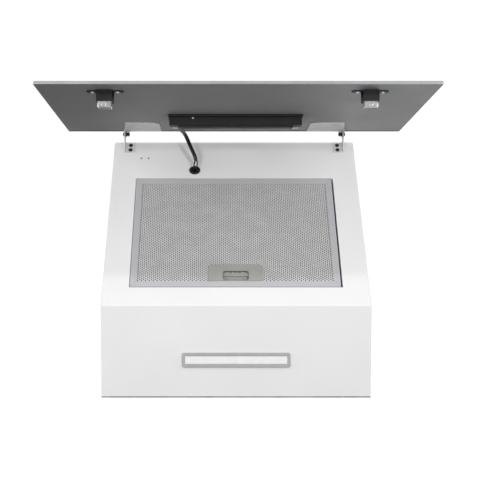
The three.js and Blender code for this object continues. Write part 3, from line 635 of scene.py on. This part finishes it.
def filter_opening():
    """The bounds of the opening in the slanted face: x, x, y, y."""
    low, high = span("filter_frame_bottom", FACE)[0], span("filter_frame_top", FACE)[1]
    reach = span("filter_frame_right", FACE)[1].x + FILTER_CLEARANCE
    return -reach, reach, low.y - FILTER_CLEARANCE, high.y + FILTER_CLEARANCE


def body_skin():
    """The shell and its sides: one folded and seamed skin, open at the back and the top."""
    outline = body_outline()
    half = span("front_shell")[1].x

    def outside(bm):
        add_plate(bm, [outline], -half, half)
        bmesh.ops.dissolve_limit(bm, angle_limit=FLAT_ANGLE, verts=bm.verts, edges=bm.edges)
        rims = [e for e in bm.edges if abs(e.verts[0].co.z - e.verts[1].co.z) < 1 and
                e.calc_face_angle(0) > 1]
        rims = [e for e in rims if max(v.co.x for v in e.verts) < outline[0][0] or
                abs(e.verts[0].co.y - e.verts[1].co.y) < 1]
        bmesh.ops.bevel(bm, geom=rims, offset=SIDE_RADIUS, segments=4, profile=0.5, affect="EDGES")
        folds = [e for e in bm.edges if e.calc_face_angle(0) > 0.5]
        bmesh.ops.bevel(bm, geom=folds, offset=FOLD_RADIUS, segments=3, profile=0.5, affect="EDGES")

    inner = inset(outline, SHEET)
    back, top = outline[0][0] + OVERHANG, outline[1][1] + OVERHANG
    room = [(back, inner[0][1]), (back, top), (inner[2][0], top), inner[3], inner[4]]
    hollow = plate([room], SHEET - half, half - SHEET, 1)
    skin = combined(moved(mesh_of(outside), SIDE_FRAME), moved(hollow, SIDE_FRAME), "DIFFERENCE")
    skin.transform(FACE.inverted())
    x0, x1, y0, y1 = filter_opening()
    collar = plate([rectangle(x0 - SHEET, x1 + SHEET, y0 - SHEET, y1 + SHEET, RETURN_CORNER)],
                   -RETURN_DEPTH, RETURN_TOP)
    skin = combined(skin, collar, "UNION")
    middle = middle_of("cable_grommet", FACE)
    loops = [rectangle(x0, x1, y0, y1, OPENING_CORNER), circle(middle.x, middle.y, GROMMET_HOLE)]
    loops += [circle(x, y, SENSOR_RADIUS, 16) for x, y in SENSORS]
    cutters = [plate([loop], CUT_LOW, CUT_HIGH) for loop in loops]
    light_low, light_high = span("light_frame")
    slot = rectangle(light_low.x + LIGHT_LAP, light_high.x - LIGHT_LAP, light_low.y + LIGHT_LAP,
                     light_high.y - LIGHT_LAP, LIGHT_CORNER)
    slot = plate([slot], FLOOR_Z + LIGHT_CUT_LOW, FLOOR_Z + LIGHT_CUT_HIGH)
    cutters.append(moved(moved(slot, ROOM), FACE.inverted()))
    skin = combined(skin, joined(*cutters), "DIFFERENCE")
    shell = piece("body_skin", skin, "body", WHITE_PAINT,
                  ["front_shell", "side_panel_left", "side_panel_right"], FACE)
    shade(shell)


def shade(obj):
    """Keeps large flat faces flat next to rounded edges."""
    obj.modifiers.new("shade", "WEIGHTED_NORMAL").keep_sharp = True


body_skin()


# -------------------- small shared shapes
def dome(radius, height, base=0.0, steps=5, inner=0.0):
    """The profile of a low dome on a short straight wall, from the wall's foot to the top."""
    wall = height * 0.35
    points = [(radius, base), (radius, base + wall)]
    for i in range(1, steps + 1):
        angle = math.pi / 2 * i / steps
        across = inner + (radius - inner) * math.cos(angle)
        points.append((max(across, 0), base + wall + (height - wall) * math.sin(angle)))
    return points


def screw_mesh(radius, height, shank, length, turn=0.0):
    """A pan-head screw along -Z with a cross recess, its head on z = 0."""
    tip = 0.6 * shank
    profile = [(0, -length), (shank - tip, -length), (shank, tip - length), (shank, 0)]
    body = lathe(profile + dome(radius, height), 28)
    arm, width = radius * 0.62, radius * 0.11
    quarter = [(-arm, -width), (-width, -width), (-width, -arm)]
    turns = ((1, 0), (0, 1), (-1, 0), (0, -1))
    outline = [(x * c - y * k, x * k + y * c) for c, k in turns for x, y in quarter]
    cross = plate([outline], height * 0.45, height + 1)
    cross.transform(Matrix.Rotation(turn, 4, "Z"))
    return combined(body, cross, "DIFFERENCE")


def screw(name, x, y, z, place, body, sizes, replaces=(), turn=0.4, material=STEEL):
    """A screw whose head lies on the plane z of a frame."""
    mesh = moved(screw_mesh(*sizes, turn=turn), at(x, y, z))
    return piece(name, mesh, body, material, replaces, place, sharp=40)


# -------------------- grease filter
BAR_WIDTH = 11.5
BAR_DEPTH = 9.0
BAR_SKIN = 0.8
BAR_RADIUS = 1.3
MITRE_GAP = 0.12
FILTER_SHIFT = -1.0
HOLE_PITCH = 3.71
HOLE_RADIUS = 1.32
HOLE_SIDES = 8
BACK_SCALE = 2.4
LIP_FOLD = 0.35
LIP_STEP = 0.2
SHEET_LAP = 2
LATCH_LAP = 2.5
SEAM = 0.001


def channel_profile():
    """The section of a frame bar, as (distance from the outer edge, height) points."""
    def corner(cx, cz, radius, start):
        return [(cx + radius * math.cos(math.radians(a)), cz + radius * math.sin(math.radians(a)))
                for a in range(start, start + 91, 30)]
    outer = corner(BAR_RADIUS, -BAR_RADIUS, BAR_RADIUS, 90)
    outer += corner(BAR_RADIUS, -BAR_DEPTH + BAR_RADIUS, BAR_RADIUS, 180)
    small = BAR_RADIUS - BAR_SKIN
    inner = corner(BAR_RADIUS, -BAR_RADIUS, small, 90)
    inner += corner(BAR_RADIUS, -BAR_DEPTH + BAR_RADIUS, small, 180)
    lip = BAR_WIDTH - LIP_FOLD
    front = [(BAR_WIDTH, -LIP_FOLD), (lip, 0)]
    back = [(lip, -BAR_DEPTH), (BAR_WIDTH, -BAR_DEPTH + LIP_FOLD)]
    front_end = [(BAR_WIDTH - LIP_STEP, -BAR_SKIN)]
    back_end = [(BAR_WIDTH, -BAR_DEPTH + BAR_SKIN)]
    return [front[1]] + outer + back + back_end + inner[::-1] + front_end + [front[0]]


def mitred_bar(length):
    """A bar along local X with its outer edge at y = 0, cut at 45 degrees at both ends."""
    profile = channel_profile()

    def build(bm):
        ends = []
        for side in (-1, 1):
            points = [(side * (length / 2 - inward - MITRE_GAP), inward, height)
                      for inward, height in profile]
            ends.append(ring(bm, points))
        bridge(bm, *ends)
        for end in ends:
            bm.faces.new(end)
    return mesh_of(build)


def filter_frame():
    """Four channel bars that meet in mitred corners."""
    low, high = span("filter_frame_bottom", FACE)[0], span("filter_frame_top", FACE)[1]
    half = span("filter_frame_right", FACE)[1].x
    width, length = 2 * half, high.y - low.y
    middle = (low.y + high.y) / 2
    places = {
        "bottom": (at(FILTER_SHIFT, low.y, 0), 0, width),
        "right": (at(FILTER_SHIFT + half, middle, 0), 90, length),
        "top": (at(FILTER_SHIFT, high.y, 0), 180, width),
        "left": (at(FILTER_SHIFT - half, middle, 0), 270, length),
    }
    for side, (place, turn, size) in places.items():
        bar = moved(mitred_bar(size), place @ Matrix.Rotation(math.radians(turn), 4, "Z"))
        upright = side in ("left", "right")
        shade(piece(f"filter_bar_{side}", bar, "filter", ALUMINIUM_UP if upright else ALUMINIUM,
                    [f"filter_frame_{side}"], FACE, sharp=50))


def perforated(x_range, y_range, low, high, scale, skip):
    """A sheet with staggered round holes, as one closed surface of six-sided cells."""
    pitch = HOLE_PITCH * scale
    radius = HOLE_RADIUS * scale
    corner_radius = pitch / math.sqrt(3)
    row_step, column_step = pitch / 2, pitch * math.sqrt(3)

    def build(bm):
        shared = {}

        def shared_corner(x, y, z):
            key = (round(x, 2), round(y, 2), z)
            if key not in shared:
                shared[key] = bm.verts.new((x, y, z))
            return shared[key]

        def cell(cx, cy):
            levels = []
            for z in (high, low):
                edge = []
                for i in range(6):
                    angle = math.radians(60 * i)
                    edge.append(shared_corner(cx + corner_radius * math.cos(angle),
                                              cy + corner_radius * math.sin(angle), z))
                hole = ring(bm, [(x, y, z) for x, y in circle(cx, cy, radius, HOLE_SIDES)])
                stitch(bm, edge, hole)
                levels.append(hole)
            bridge(bm, *levels)

        for row in range(math.ceil((y_range[1] - y_range[0]) / row_step)):
            cy = y_range[0] + row * row_step
            cx = (row % 2) * column_step / 2 - math.ceil(-x_range[0] / column_step) * column_step
            while cx < x_range[1]:
                if cx >= x_range[0] and not skip(cx, cy):
                    cell(cx, cy)
                cx += column_step
        for edge in [e for e in bm.edges if len(e.link_faces) == 1]:
            a, b = edge.verts
            if a.co.z == high:
                below = [shared[(round(v.co.x, 2), round(v.co.y, 2), low)] for v in (a, b)]
                bm.faces.new((a, b, below[1], below[0]))
    return mesh_of(build)


def stitch(bm, outer, inner):
    """Joins two rings of different counts round the same centre with triangles."""
    i = j = 0
    while i < len(outer) or j < len(inner):
        a, b = outer[i % len(outer)], inner[j % len(inner)]
        if j == len(inner) or (i < len(outer) and (i + 0.5) / len(outer) <= (j + 0.5) / len(inner)):
            bm.faces.new((a, outer[(i + 1) % len(outer)], b))
            i += 1
        else:
            bm.faces.new((a, inner[(j + 1) % len(inner)], b))
            j += 1


def filter_sheets():
    """The fine sheet in front, in two halves that leave out the latch, and the coarse one behind."""
    housing_high = span("latch_housing", FACE)[1]
    low, high = span("filter_front_mesh", FACE)
    bottom = span("filter_frame_bottom", FACE)[1].y - SHEET_LAP
    top = span("filter_frame_top", FACE)[0].y + SHEET_LAP
    reach = span("filter_frame_right", FACE)[0].x + SHEET_LAP

    def under_latch(x, y):
        return abs(x) < housing_high.x - LATCH_LAP and y < housing_high.y - LATCH_LAP

    ranges = {"left": (-reach, -SEAM), "right": (-SEAM, reach)}
    for side, x_range in ranges.items():
        sheet = perforated(x_range, (bottom, top), low.z, high.z, 1, under_latch)
        piece(f"filter_sheet_{side}", moved(sheet, at(FILTER_SHIFT, 0, 0)), "filter", MESH_SHEET,
              ["filter_front_mesh"], FACE, sharp=50)
    low, high = span("filter_back_mesh", FACE)
    sheet = perforated((-reach, reach), (bottom, top), low.z, high.z, BACK_SCALE, lambda x, y: False)
    piece("filter_back_sheet", moved(sheet, at(FILTER_SHIFT, 0, 0)), "filter", MESH_SHEET,
          ["filter_back_mesh"], FACE, sharp=50)


filter_frame()
filter_sheets()


# -------------------- glass panel
BACK, EDGE, FRONT = 0, 1, 2
GLASS_CORNER = 4
ARRIS = 0.8
STRIP_START = 0.6
STRIP_END = 7.0
STRIP_HEIGHT = 0.5
FLAT_NORMAL = 0.99


def glass_panel():
    """A slab with ground edges: white glass in front, and grey paint on its back."""
    low, high = span("glass_panel", PANEL)
    outline = rectangle(low.x, high.x, low.y, high.y, GLASS_CORNER)
    slab = plate([outline], low.z, high.z, ARRIS, 2)
    for polygon in slab.polygons:
        if polygon.normal.z > FLAT_NORMAL:
            polygon.material_index = BACK
        elif polygon.normal.z < -FLAT_NORMAL:
            polygon.material_index = FRONT
        else:
            polygon.material_index = EDGE
    shade(piece("glass_slab", slab, "panel", [GREY_BACK, GLASS_EDGE, GLASS_FRONT], ["glass_panel"], PANEL,
                sharp=30))
    # A thin dark strip along the hinge edge of the back: painted shade for the shaded arris there.
    strip = plate([rectangle(low.x + 1, high.x - 1, low.y + STRIP_START, low.y + STRIP_END, 1)],
                  high.z - 0.1, high.z + STRIP_HEIGHT, 0.15)
    piece("panel_hinge_shade_strip", strip, "panel", HINGE_SHADE_STRIP, (), PANEL)
    touch_marks(low.z)


MARK_STEP = 34
MARK_RING = 5.5
MARK_LINE = 0.6
MARK_BAR = 2.2
MARK_DOT = 1.4
MARK_RAISE = 0.06
MARK_SINK = 0.1


def touch_marks(front):
    """Plain rings and bars printed over the touch controls. Their design is generic."""
    row = middle_of("control_base", PANEL).y
    line = MARK_LINE / 2
    shapes = []
    for i in range(-2, 3):
        x = i * MARK_STEP
        shapes.append([circle(x, row, MARK_RING), circle(x, row, MARK_RING - MARK_LINE)])
        if i in (-1, 1):
            shapes.append([rectangle(x - MARK_BAR, x + MARK_BAR, row - line, row + line)])
        if i == 1:
            shapes.append([rectangle(x - line, x + line, row - MARK_BAR, row + MARK_BAR)])
        if i == 0:
            shapes.append([circle(x, row, MARK_DOT)])
    marks = [plate(shape, front - MARK_RAISE, front + MARK_SINK) for shape in shapes]
    piece("touch_marks", joined(*marks), "panel", MARK, (), PANEL)


# -------------------- control box
WALL_RIBS = 5
RIB_FIRST = 2.2
RIB_STEP = 2.3
RIB_THICKNESS = 0.7
CASE_SHOULDER = 14.5
CASE_LOW_TOP = 9.2
CASE_DEEP = 25
CORE_MARGIN = 15
LOW_HALF = 105
CASE_SLOPE = math.radians(5)
CLIP_HALF = 5
CASE_PIN_X = -71


def control_box():
    """The tray on the glass and its black case: a deep part with a raised core, and a low part."""
    base_low, base_high = span("control_base", PANEL)
    floor = rectangle(base_low.x, base_high.x, base_low.y, base_high.y, 3)
    tray = plate([floor], base_low.z, base_high.z, 0.7)
    shade(piece("control_tray", tray, "panel", BLACK_PLASTIC, ["control_base"], PANEL))

    low, high = span("control_cover", PANEL)
    shoulder, low_top = low.z + CASE_SHOULDER, low.z + CASE_LOW_TOP
    step = high.y - CASE_DEEP
    core = high.x - CORE_MARGIN
    drop = (high.y - step) * math.tan(CASE_SLOPE)

    def sloped(mesh):
        """Lowers what lies above the low part towards the hinge."""
        for vertex in mesh.vertices:
            if vertex.co.z > low_top:
                vertex.co.z -= drop * (high.y - vertex.co.y) / (high.y - step)
        return mesh

    deep = rectangle(low.x, high.x, step, high.y, 2.5)
    raised = rectangle(-core, core, step + 1, high.y - 0.8, 2)
    shallow = rectangle(-LOW_HALF, LOW_HALF, low.y, step + 3, 2.5)
    parts = [sloped(plate([deep], low.z, shoulder, 1.1, 3)),
             sloped(plate([raised], shoulder - 0.5, high.z, 1.2, 3)),
             plate([shallow], low.z, low_top, 0.9, 3)]
    rib = rectangle(low.x + 4, high.x - 4, high.y - 0.4, high.y + 0.35)
    for i in range(WALL_RIBS):
        z = low.z + RIB_FIRST + i * RIB_STEP
        parts.append(plate([rib], z, z + RIB_THICKNESS, 0.2, 1))
    shade(piece("control_case", joined(*parts), "panel", BLACK_PLASTIC, ["control_cover"], PANEL))

    tabs = []
    for x in (3 - LOW_HALF, LOW_HALF - 3):
        tab = rectangle(x - CLIP_HALF, x + CLIP_HALF, low.y - 1.2, low.y + 7, 1)
        tabs.append(plate([tab], low_top + 0.05, low_top + 1.8, 0.4))
    piece("control_case_clips", joined(*tabs), "panel", PLATED, (), PANEL)
    pin = moved(lathe([(0, -1)] + dome(1.6, 1.0), 20),
                at(CASE_PIN_X, high.y, 2.0) @ Matrix.Rotation(-math.pi / 2, 4, "X"))
    piece("control_case_pin", pin, "panel", PLATED, (), PANEL)


# -------------------- magnet catches
# Screw sizes are the head's radius and height, and the shank's radius and length.
MAGNET_SCREW = (3.2, 1.7, 1.6, 3.4)
FLANGE_HALF = 6
FLANGE_THICKNESS = 1.5
BLOCK_HALF = 12.5
BLOCK_RIBS = 9
BLOCK_RIB_STEP = 2.8
POLE_OFFSET = 2.7


def magnet_catch(side):
    """A ribbed black holder on a flange, with a bright cap round its magnet."""
    low, high = span(f"magnet_holder_{side}", PANEL)
    middle = (low + high) / 2
    flange = rectangle(low.x, high.x, middle.y - FLANGE_HALF, middle.y + FLANGE_HALF, FLANGE_HALF - 0.1)
    flange_top = low.z + FLANGE_THICKNESS
    parts = [plate([flange], low.z, flange_top, 0.4)]
    half_x, half_y = BLOCK_HALF, high.y - middle.y - 0.6
    block = rectangle(middle.x - half_x, middle.x + half_x, middle.y - half_y, middle.y + half_y, 1.2)
    cap_low, cap_high = span(f"magnet_{side}", PANEL)
    well = rectangle(cap_low.x - 0.2, cap_high.x + 0.2, cap_low.y - 0.2, cap_high.y + 0.2, 1.8)
    parts.append(plate([block, well], low.z + 1, high.z, 0.5))
    parts.append(plate([block], low.z + 0.5, cap_low.z - 0.2, 0.3))
    for i in range(BLOCK_RIBS):
        x = middle.x + (i - BLOCK_RIBS // 2) * BLOCK_RIB_STEP
        for edge in (-1, 1):
            y = middle.y + edge * half_y
            rib = rectangle(x - 0.45, x + 0.45, y - 0.6, y + 0.6, 0.3, 3)
            parts.append(plate([rib], flange_top, high.z - 1.2, 0.2, 1))
    shade(piece(f"magnet_case_{side}", joined(*parts), "panel", BLACK_PLASTIC, [f"magnet_holder_{side}"],
                PANEL))

    cap = rectangle(cap_low.x, cap_high.x, cap_low.y, cap_high.y, 1.6)
    parts = [plate([cap], cap_low.z, cap_high.z, 1.0, 3)]
    for offset in (-POLE_OFFSET, POLE_OFFSET):
        pole = circle(middle.x + offset, cap_high.y - 1.2, 1.7, 20)
        parts.append(plate([pole], cap_low.z + 1, cap_high.z - 2.5, 0.6, 3))
    shade(piece(f"magnet_cap_{side}", joined(*parts), "panel", CHROME, [f"magnet_{side}"], PANEL))
    for i in (1, 2):
        node = f"magnet_screw_{side}_{i}"
        spot = middle_of(node, PANEL)
        screw(f"{node}_head", spot.x, spot.y, flange_top, PANEL, "panel", MAGNET_SCREW,
              [node], 0.3 + i, PLATED)


glass_panel()
control_box()
for side in ("left", "right"):
    magnet_catch(side)
    refine(f"glass_bracket_{side}", PLATED, 0.35)


# -------------------- hinge brackets on the face
BRACKET_SCREW = (3.6, 2.2, 1.9, 5.4)
PIN_SHANK = 2.0
PIN_NUT_RADIUS, PIN_NUT_HEIGHT = 3.4, 1.6
PIN_HEAD_RADIUS, PIN_HEAD_HEIGHT = 4.0, 6.5
PIN_CHAMFER = 0.4
PIN_EDGE = 0.3
COLLAR_HEIGHT = 2.5
GROOVE_DEPTH = 1.3
GROOVE_END = 3.3
DOME_START = 3.5


def rivet_profile(length):
    """The hinge pin's (radius, height) points: a nut, the shank, and a grooved head."""
    nut, nut_low, nut_high = PIN_NUT_RADIUS, PIN_CHAMFER, PIN_CHAMFER + PIN_NUT_HEIGHT
    radius, head = PIN_HEAD_RADIUS, length - PIN_HEAD_HEIGHT
    groove = radius - GROOVE_DEPTH
    profile = [(0, 0), (PIN_SHANK, 0), (PIN_SHANK, nut_low), (nut - PIN_EDGE, nut_low),
               (nut, nut_low + PIN_CHAMFER), (nut, nut_high), (PIN_SHANK, nut_high), (PIN_SHANK, head),
               (radius - PIN_EDGE, head), (radius, head + PIN_CHAMFER),
               (radius, head + COLLAR_HEIGHT - PIN_EDGE), (groove, head + COLLAR_HEIGHT),
               (groove, head + GROOVE_END)]
    return profile + dome(radius, PIN_HEAD_HEIGHT - DOME_START, head + DOME_START)


def hinge(side):
    """The bracket on the face, its two screws and the pin through it."""
    refine(f"body_bracket_{side}", PALE_ZINC, 0.3)
    for i in (1, 2):
        node = f"bracket_screw_{side}_{i}"
        spot = middle_of(node, FACE)
        head_z = span(node, FACE)[1].z - BRACKET_SCREW[1]
        screw(f"{node}_head", spot.x, spot.y, head_z, FACE, "body", BRACKET_SCREW, [node], 0.5 * i,
              BLACK_STEEL)
    node = f"hinge_pin_{side}"
    low, high = span(node)
    inward = 1 if side == "left" else -1
    start = low.x if inward > 0 else high.x
    turn = Matrix.Rotation(inward * math.pi / 2, 4, "Y")
    middle = (low + high) / 2
    pin = moved(lathe(rivet_profile(high.x - low.x), 32), at(start, middle.y, middle.z) @ turn)
    piece(f"{node}_rivet", pin, "body", BLACK_STEEL, [node], ROOM)


# -------------------- grommet and latch
GROMMET_BORE = 4.3
GROMMET_NECK = 7.9


def cable_grommet():
    """A soft ring that grips the sheet on both sides, with a raised lip round its bore."""
    low, high = span("cable_grommet", FACE)
    middle = (low + high) / 2
    radius = (high.x - low.x) / 2
    bore, neck, back = GROMMET_BORE, GROMMET_NECK, low.z
    front = [(radius - 0.6, 0.02), (radius, 0.6), (radius - 0.5, 1.5), (radius - 1.8, 2.0),
             (bore + 1.6, high.z), (bore + 0.5, high.z - 0.2), (bore, high.z - 0.9)]
    rear = [(bore, back + 0.5), (bore + 0.6, back), (radius - 1.4, back), (radius - 0.6, back + 0.6),
            (radius - 0.6, -1.3), (neck, -1.25), (neck, 0.0)]
    profile = front + rear + front[:1]
    grommet = moved(lathe(profile, 48), at(middle.x, middle.y, 0))
    piece("grommet", grommet, "body", RUBBER, ["cable_grommet"], FACE, sharp=60)


LATCH_CORNER = 7
RECESS_ROOF = 69.6
SLOT_Y = 59.0
RECESS_CORNER = 3.2
RECESS_FLOOR = 1.2
CASE_UNDERSIDE = 6
SCOOP_STEPS = 8
SCOOP_DEPTH = 5.0
PAD_TOP = -2.9
PAD_BOTTOM = -5.0
STEM_TOP = -4.8
BOLT_HALF = 15
BOLT_THICKNESS = 1.6


def latch():
    """The latch housing with its scooped finger recess, and the pad that slides in it."""
    low, high = span("latch_housing", FACE)
    pad_low, pad_high = span("latch_slider", FACE)
    half = pad_high.x + 0.3
    floor_y, slot_y, roof_y = low.y + RECESS_FLOOR, SLOT_Y, RECESS_ROOF
    outline = rectangle(low.x, high.x, low.y, high.y, LATCH_CORNER)
    lower = [(x, y) for x, y in outline if y > low.y + LATCH_CORNER]
    outline = [(low.x, low.y + 0.2), (high.x, low.y + 0.2)] + lower
    recess = rectangle(-half, half, floor_y, roof_y, RECESS_CORNER)
    rear = rectangle(low.x + 1, high.x - 1, low.y + 1, high.y - 1, LATCH_CORNER)
    parts = [plate([outline, recess], low.z + CASE_UNDERSIDE, high.z, 0.35),
             plate([rear], low.z, low.z + 1.2, 0.3)]

    def scoop(bm):
        rows = []
        for x in (-half - 0.5, half + 0.5):
            curve = []
            for i in range(SCOOP_STEPS + 1):
                share = i / SCOOP_STEPS
                y = floor_y - 0.4 + (slot_y - floor_y) * share
                curve.append((x, y, high.z - 0.5 - SCOOP_DEPTH * math.sin(share * math.pi / 2)))
            curve += [(x, slot_y - 0.4, low.z + 1), (x, floor_y - 0.4, low.z + 1)]
            rows.append(ring(bm, curve))
        bridge(bm, *rows)
        for row in rows:
            bm.faces.new(row)
    parts.append(mesh_of(scoop))
    shade(piece("latch_case", joined(*parts), "filter", WARM_GREY, ["latch_housing"], FACE))

    pad = plate([rectangle(-half + 0.4, half - 0.4, slot_y + 1.6, roof_y - 2.4, 1.2)],
                PAD_BOTTOM, PAD_TOP, 0.5)
    stem = plate([rectangle(-half + 2, half - 2, slot_y + 2.6, roof_y - 3, 1)], pad_low.z, STEM_TOP, 0.2)
    bolt = plate([rectangle(-BOLT_HALF, BOLT_HALF, pad_low.y, slot_y + 3, 0.6, 2)],
                 pad_low.z, pad_low.z + BOLT_THICKNESS, 0.2)
    shade(piece("latch_pad", joined(pad, stem, bolt), "latch", WARM_GREY, ["latch_slider"], FACE))
    refine("latch_spring", STEEL, 0)


# -------------------- light bar
def light_bar():
    """A silver frame flush with the floor, round a frosted cover."""
    low, high = span("light_frame")
    glass_low, glass_high = span("light_diffuser")
    outer = rectangle(low.x, high.x, low.y, high.y, 3.2)
    window = rectangle(glass_low.x - 0.3, glass_high.x + 0.3, glass_low.y - 0.3, glass_high.y + 0.3, 1.0)
    lip = rectangle(low.x + 3.5, high.x - 3.5, low.y + 3.5, high.y - 3.5, 2)
    parts = [plate([outer, window], low.z, FLOOR_Z, 0.7, 3), plate([lip, window], FLOOR_Z - 0.2, high.z, 0.2)]
    shade(piece("light_bezel", joined(*parts), "body", SILVER, ["light_frame"], ROOM))
    cover = plate([rectangle(glass_low.x, glass_high.x, glass_low.y, glass_high.y, 0.8)],
                  glass_low.z, glass_high.z, 0.35, 3)
    shade(piece("light_cover", cover, "body", FROSTED, ["light_diffuser"], ROOM))


for side in ("left", "right"):
    hinge(side)
cable_grommet()
latch()
light_bar()


# -------------------- the rest of the CAD nodes
KEPT = {
    "top_panel": (ZINC, 0.3), "back_panel": (ZINC, 0.3), "filter_rail_upper": (ZINC, 0.2),
    "filter_rail_lower": (ZINC, 0.2), "filter_core": (FOIL_PAINTED_SHADE, 0.0), "duct_collar": (ZINC, 0.3),
    "collar_flange": (ZINC, 0.3), "flap_axle": (STEEL, 0.2), "damper_flap_front": (ZINC, 0.2),
    "damper_flap_rear": (ZINC, 0.2), "blower_housing_left": (ZINC, 0.3), "blower_housing_right": (ZINC, 0.3),
    "blower_motor": (MOTOR_STEEL, 0.6), "motor_bracket": (ZINC, 0.3), "motor_shaft": (STEEL, 0.3),
    "impeller": (ALUMINIUM, 0.0), "terminal_box": (GREY_PLASTIC, 0.5), "terminal_cover": (GREY_PLASTIC, 0.5),
    "motor_capacitor": (SILVER, 0.6), "led_driver": (GREY_PLASTIC, 0.6), "mains_gland": (BLACK_PLASTIC, 0.4),
    "light_board": (BOARD, 0.1), "control_board": (BOARD, 0.1),
}
for node, (finish, width) in KEPT.items():
    refine(node, finish, width)


# -------------------- stage and light
AMBIENT = 0.2
BACKDROP = 1.05
FLOOR_LEVEL = -2.5
FLOOR_HALF = 30000
FLOOR_CORNER = 400
FLOOR_THICKNESS = 40
LIGHT_TARGET = Vector((0, -0.3, 0))
# Softboxes are a name, a place, a size and a power. Each pair has one box on either side.
SOFTBOX_PAIRS = (
    ("key", (0.55, -3.37, -1.87), 0.12, 7.5),
    ("fill", (0.9, -0.75, -1.9), 0.35, 13.9),
    ("side", (1.9, -1.0, -0.4), 0.9, 16.5),
)
SOFTBOXES = (
    ("front", (0.0, -3.0, 0.6), 1.6, 5.4),
    ("top", (1.5, 2.4, 2.2), 1.6, 40),
)


def softbox(name, place, size, power):
    """An area light that faces the hood and isn't seen itself."""
    data = bpy.data.lights.new(name, "AREA")
    data.size = size
    data.energy = power
    lamp = bpy.data.objects.new(name, data)
    lamp.location = place
    lamp.rotation_euler = (LIGHT_TARGET - Vector(place)).to_track_quat("-Z", "Y").to_euler()
    lamp.visible_camera = False
    bpy.context.scene.collection.objects.link(lamp)


def make_room():
    """A white room with a pale floor and soft lights."""
    world = bpy.data.worlds.new("room")
    world.use_nodes = True
    nodes, links = world.node_tree.nodes, world.node_tree.links
    background = next(node for node in nodes if node.type == "BACKGROUND")
    background.inputs["Color"].default_value = (1, 1, 1, 1)
    strength = nodes.new("ShaderNodeMapRange")
    strength.inputs["To Min"].default_value = AMBIENT
    strength.inputs["To Max"].default_value = BACKDROP
    links.new(nodes.new("ShaderNodeLightPath").outputs["Is Camera Ray"], strength.inputs["Value"])
    links.new(strength.outputs["Result"], background.inputs["Strength"])
    bpy.context.scene.world = world
    for name, (x, y, z), size, power in SOFTBOX_PAIRS:
        softbox(f"{name}_left", (-x, y, z), size, power)
        softbox(f"{name}_right", (x, y, z), size, power)
    for box in SOFTBOXES:
        softbox(*box)
    outline = rectangle(-FLOOR_HALF, FLOOR_HALF, -FLOOR_HALF, FLOOR_HALF, FLOOR_CORNER)
    floor = bpy.data.objects.new("floor", plate([outline], -FLOOR_THICKNESS, 0, 5))
    floor.data.transform(ROOM)
    floor.location.z = FLOOR_LEVEL
    finish = mottled("floor", (0.80, 0.80, 0.80), (0.82, 0.82, 0.82), 0.5, 0.7, 0.01, 0.0005)
    floor.data.materials.append(finish)
    bpy.context.scene.collection.objects.link(floor)


make_room()
bpy.context.scene.view_settings.view_transform = "Standard"

bpy.context.view_layer.update()
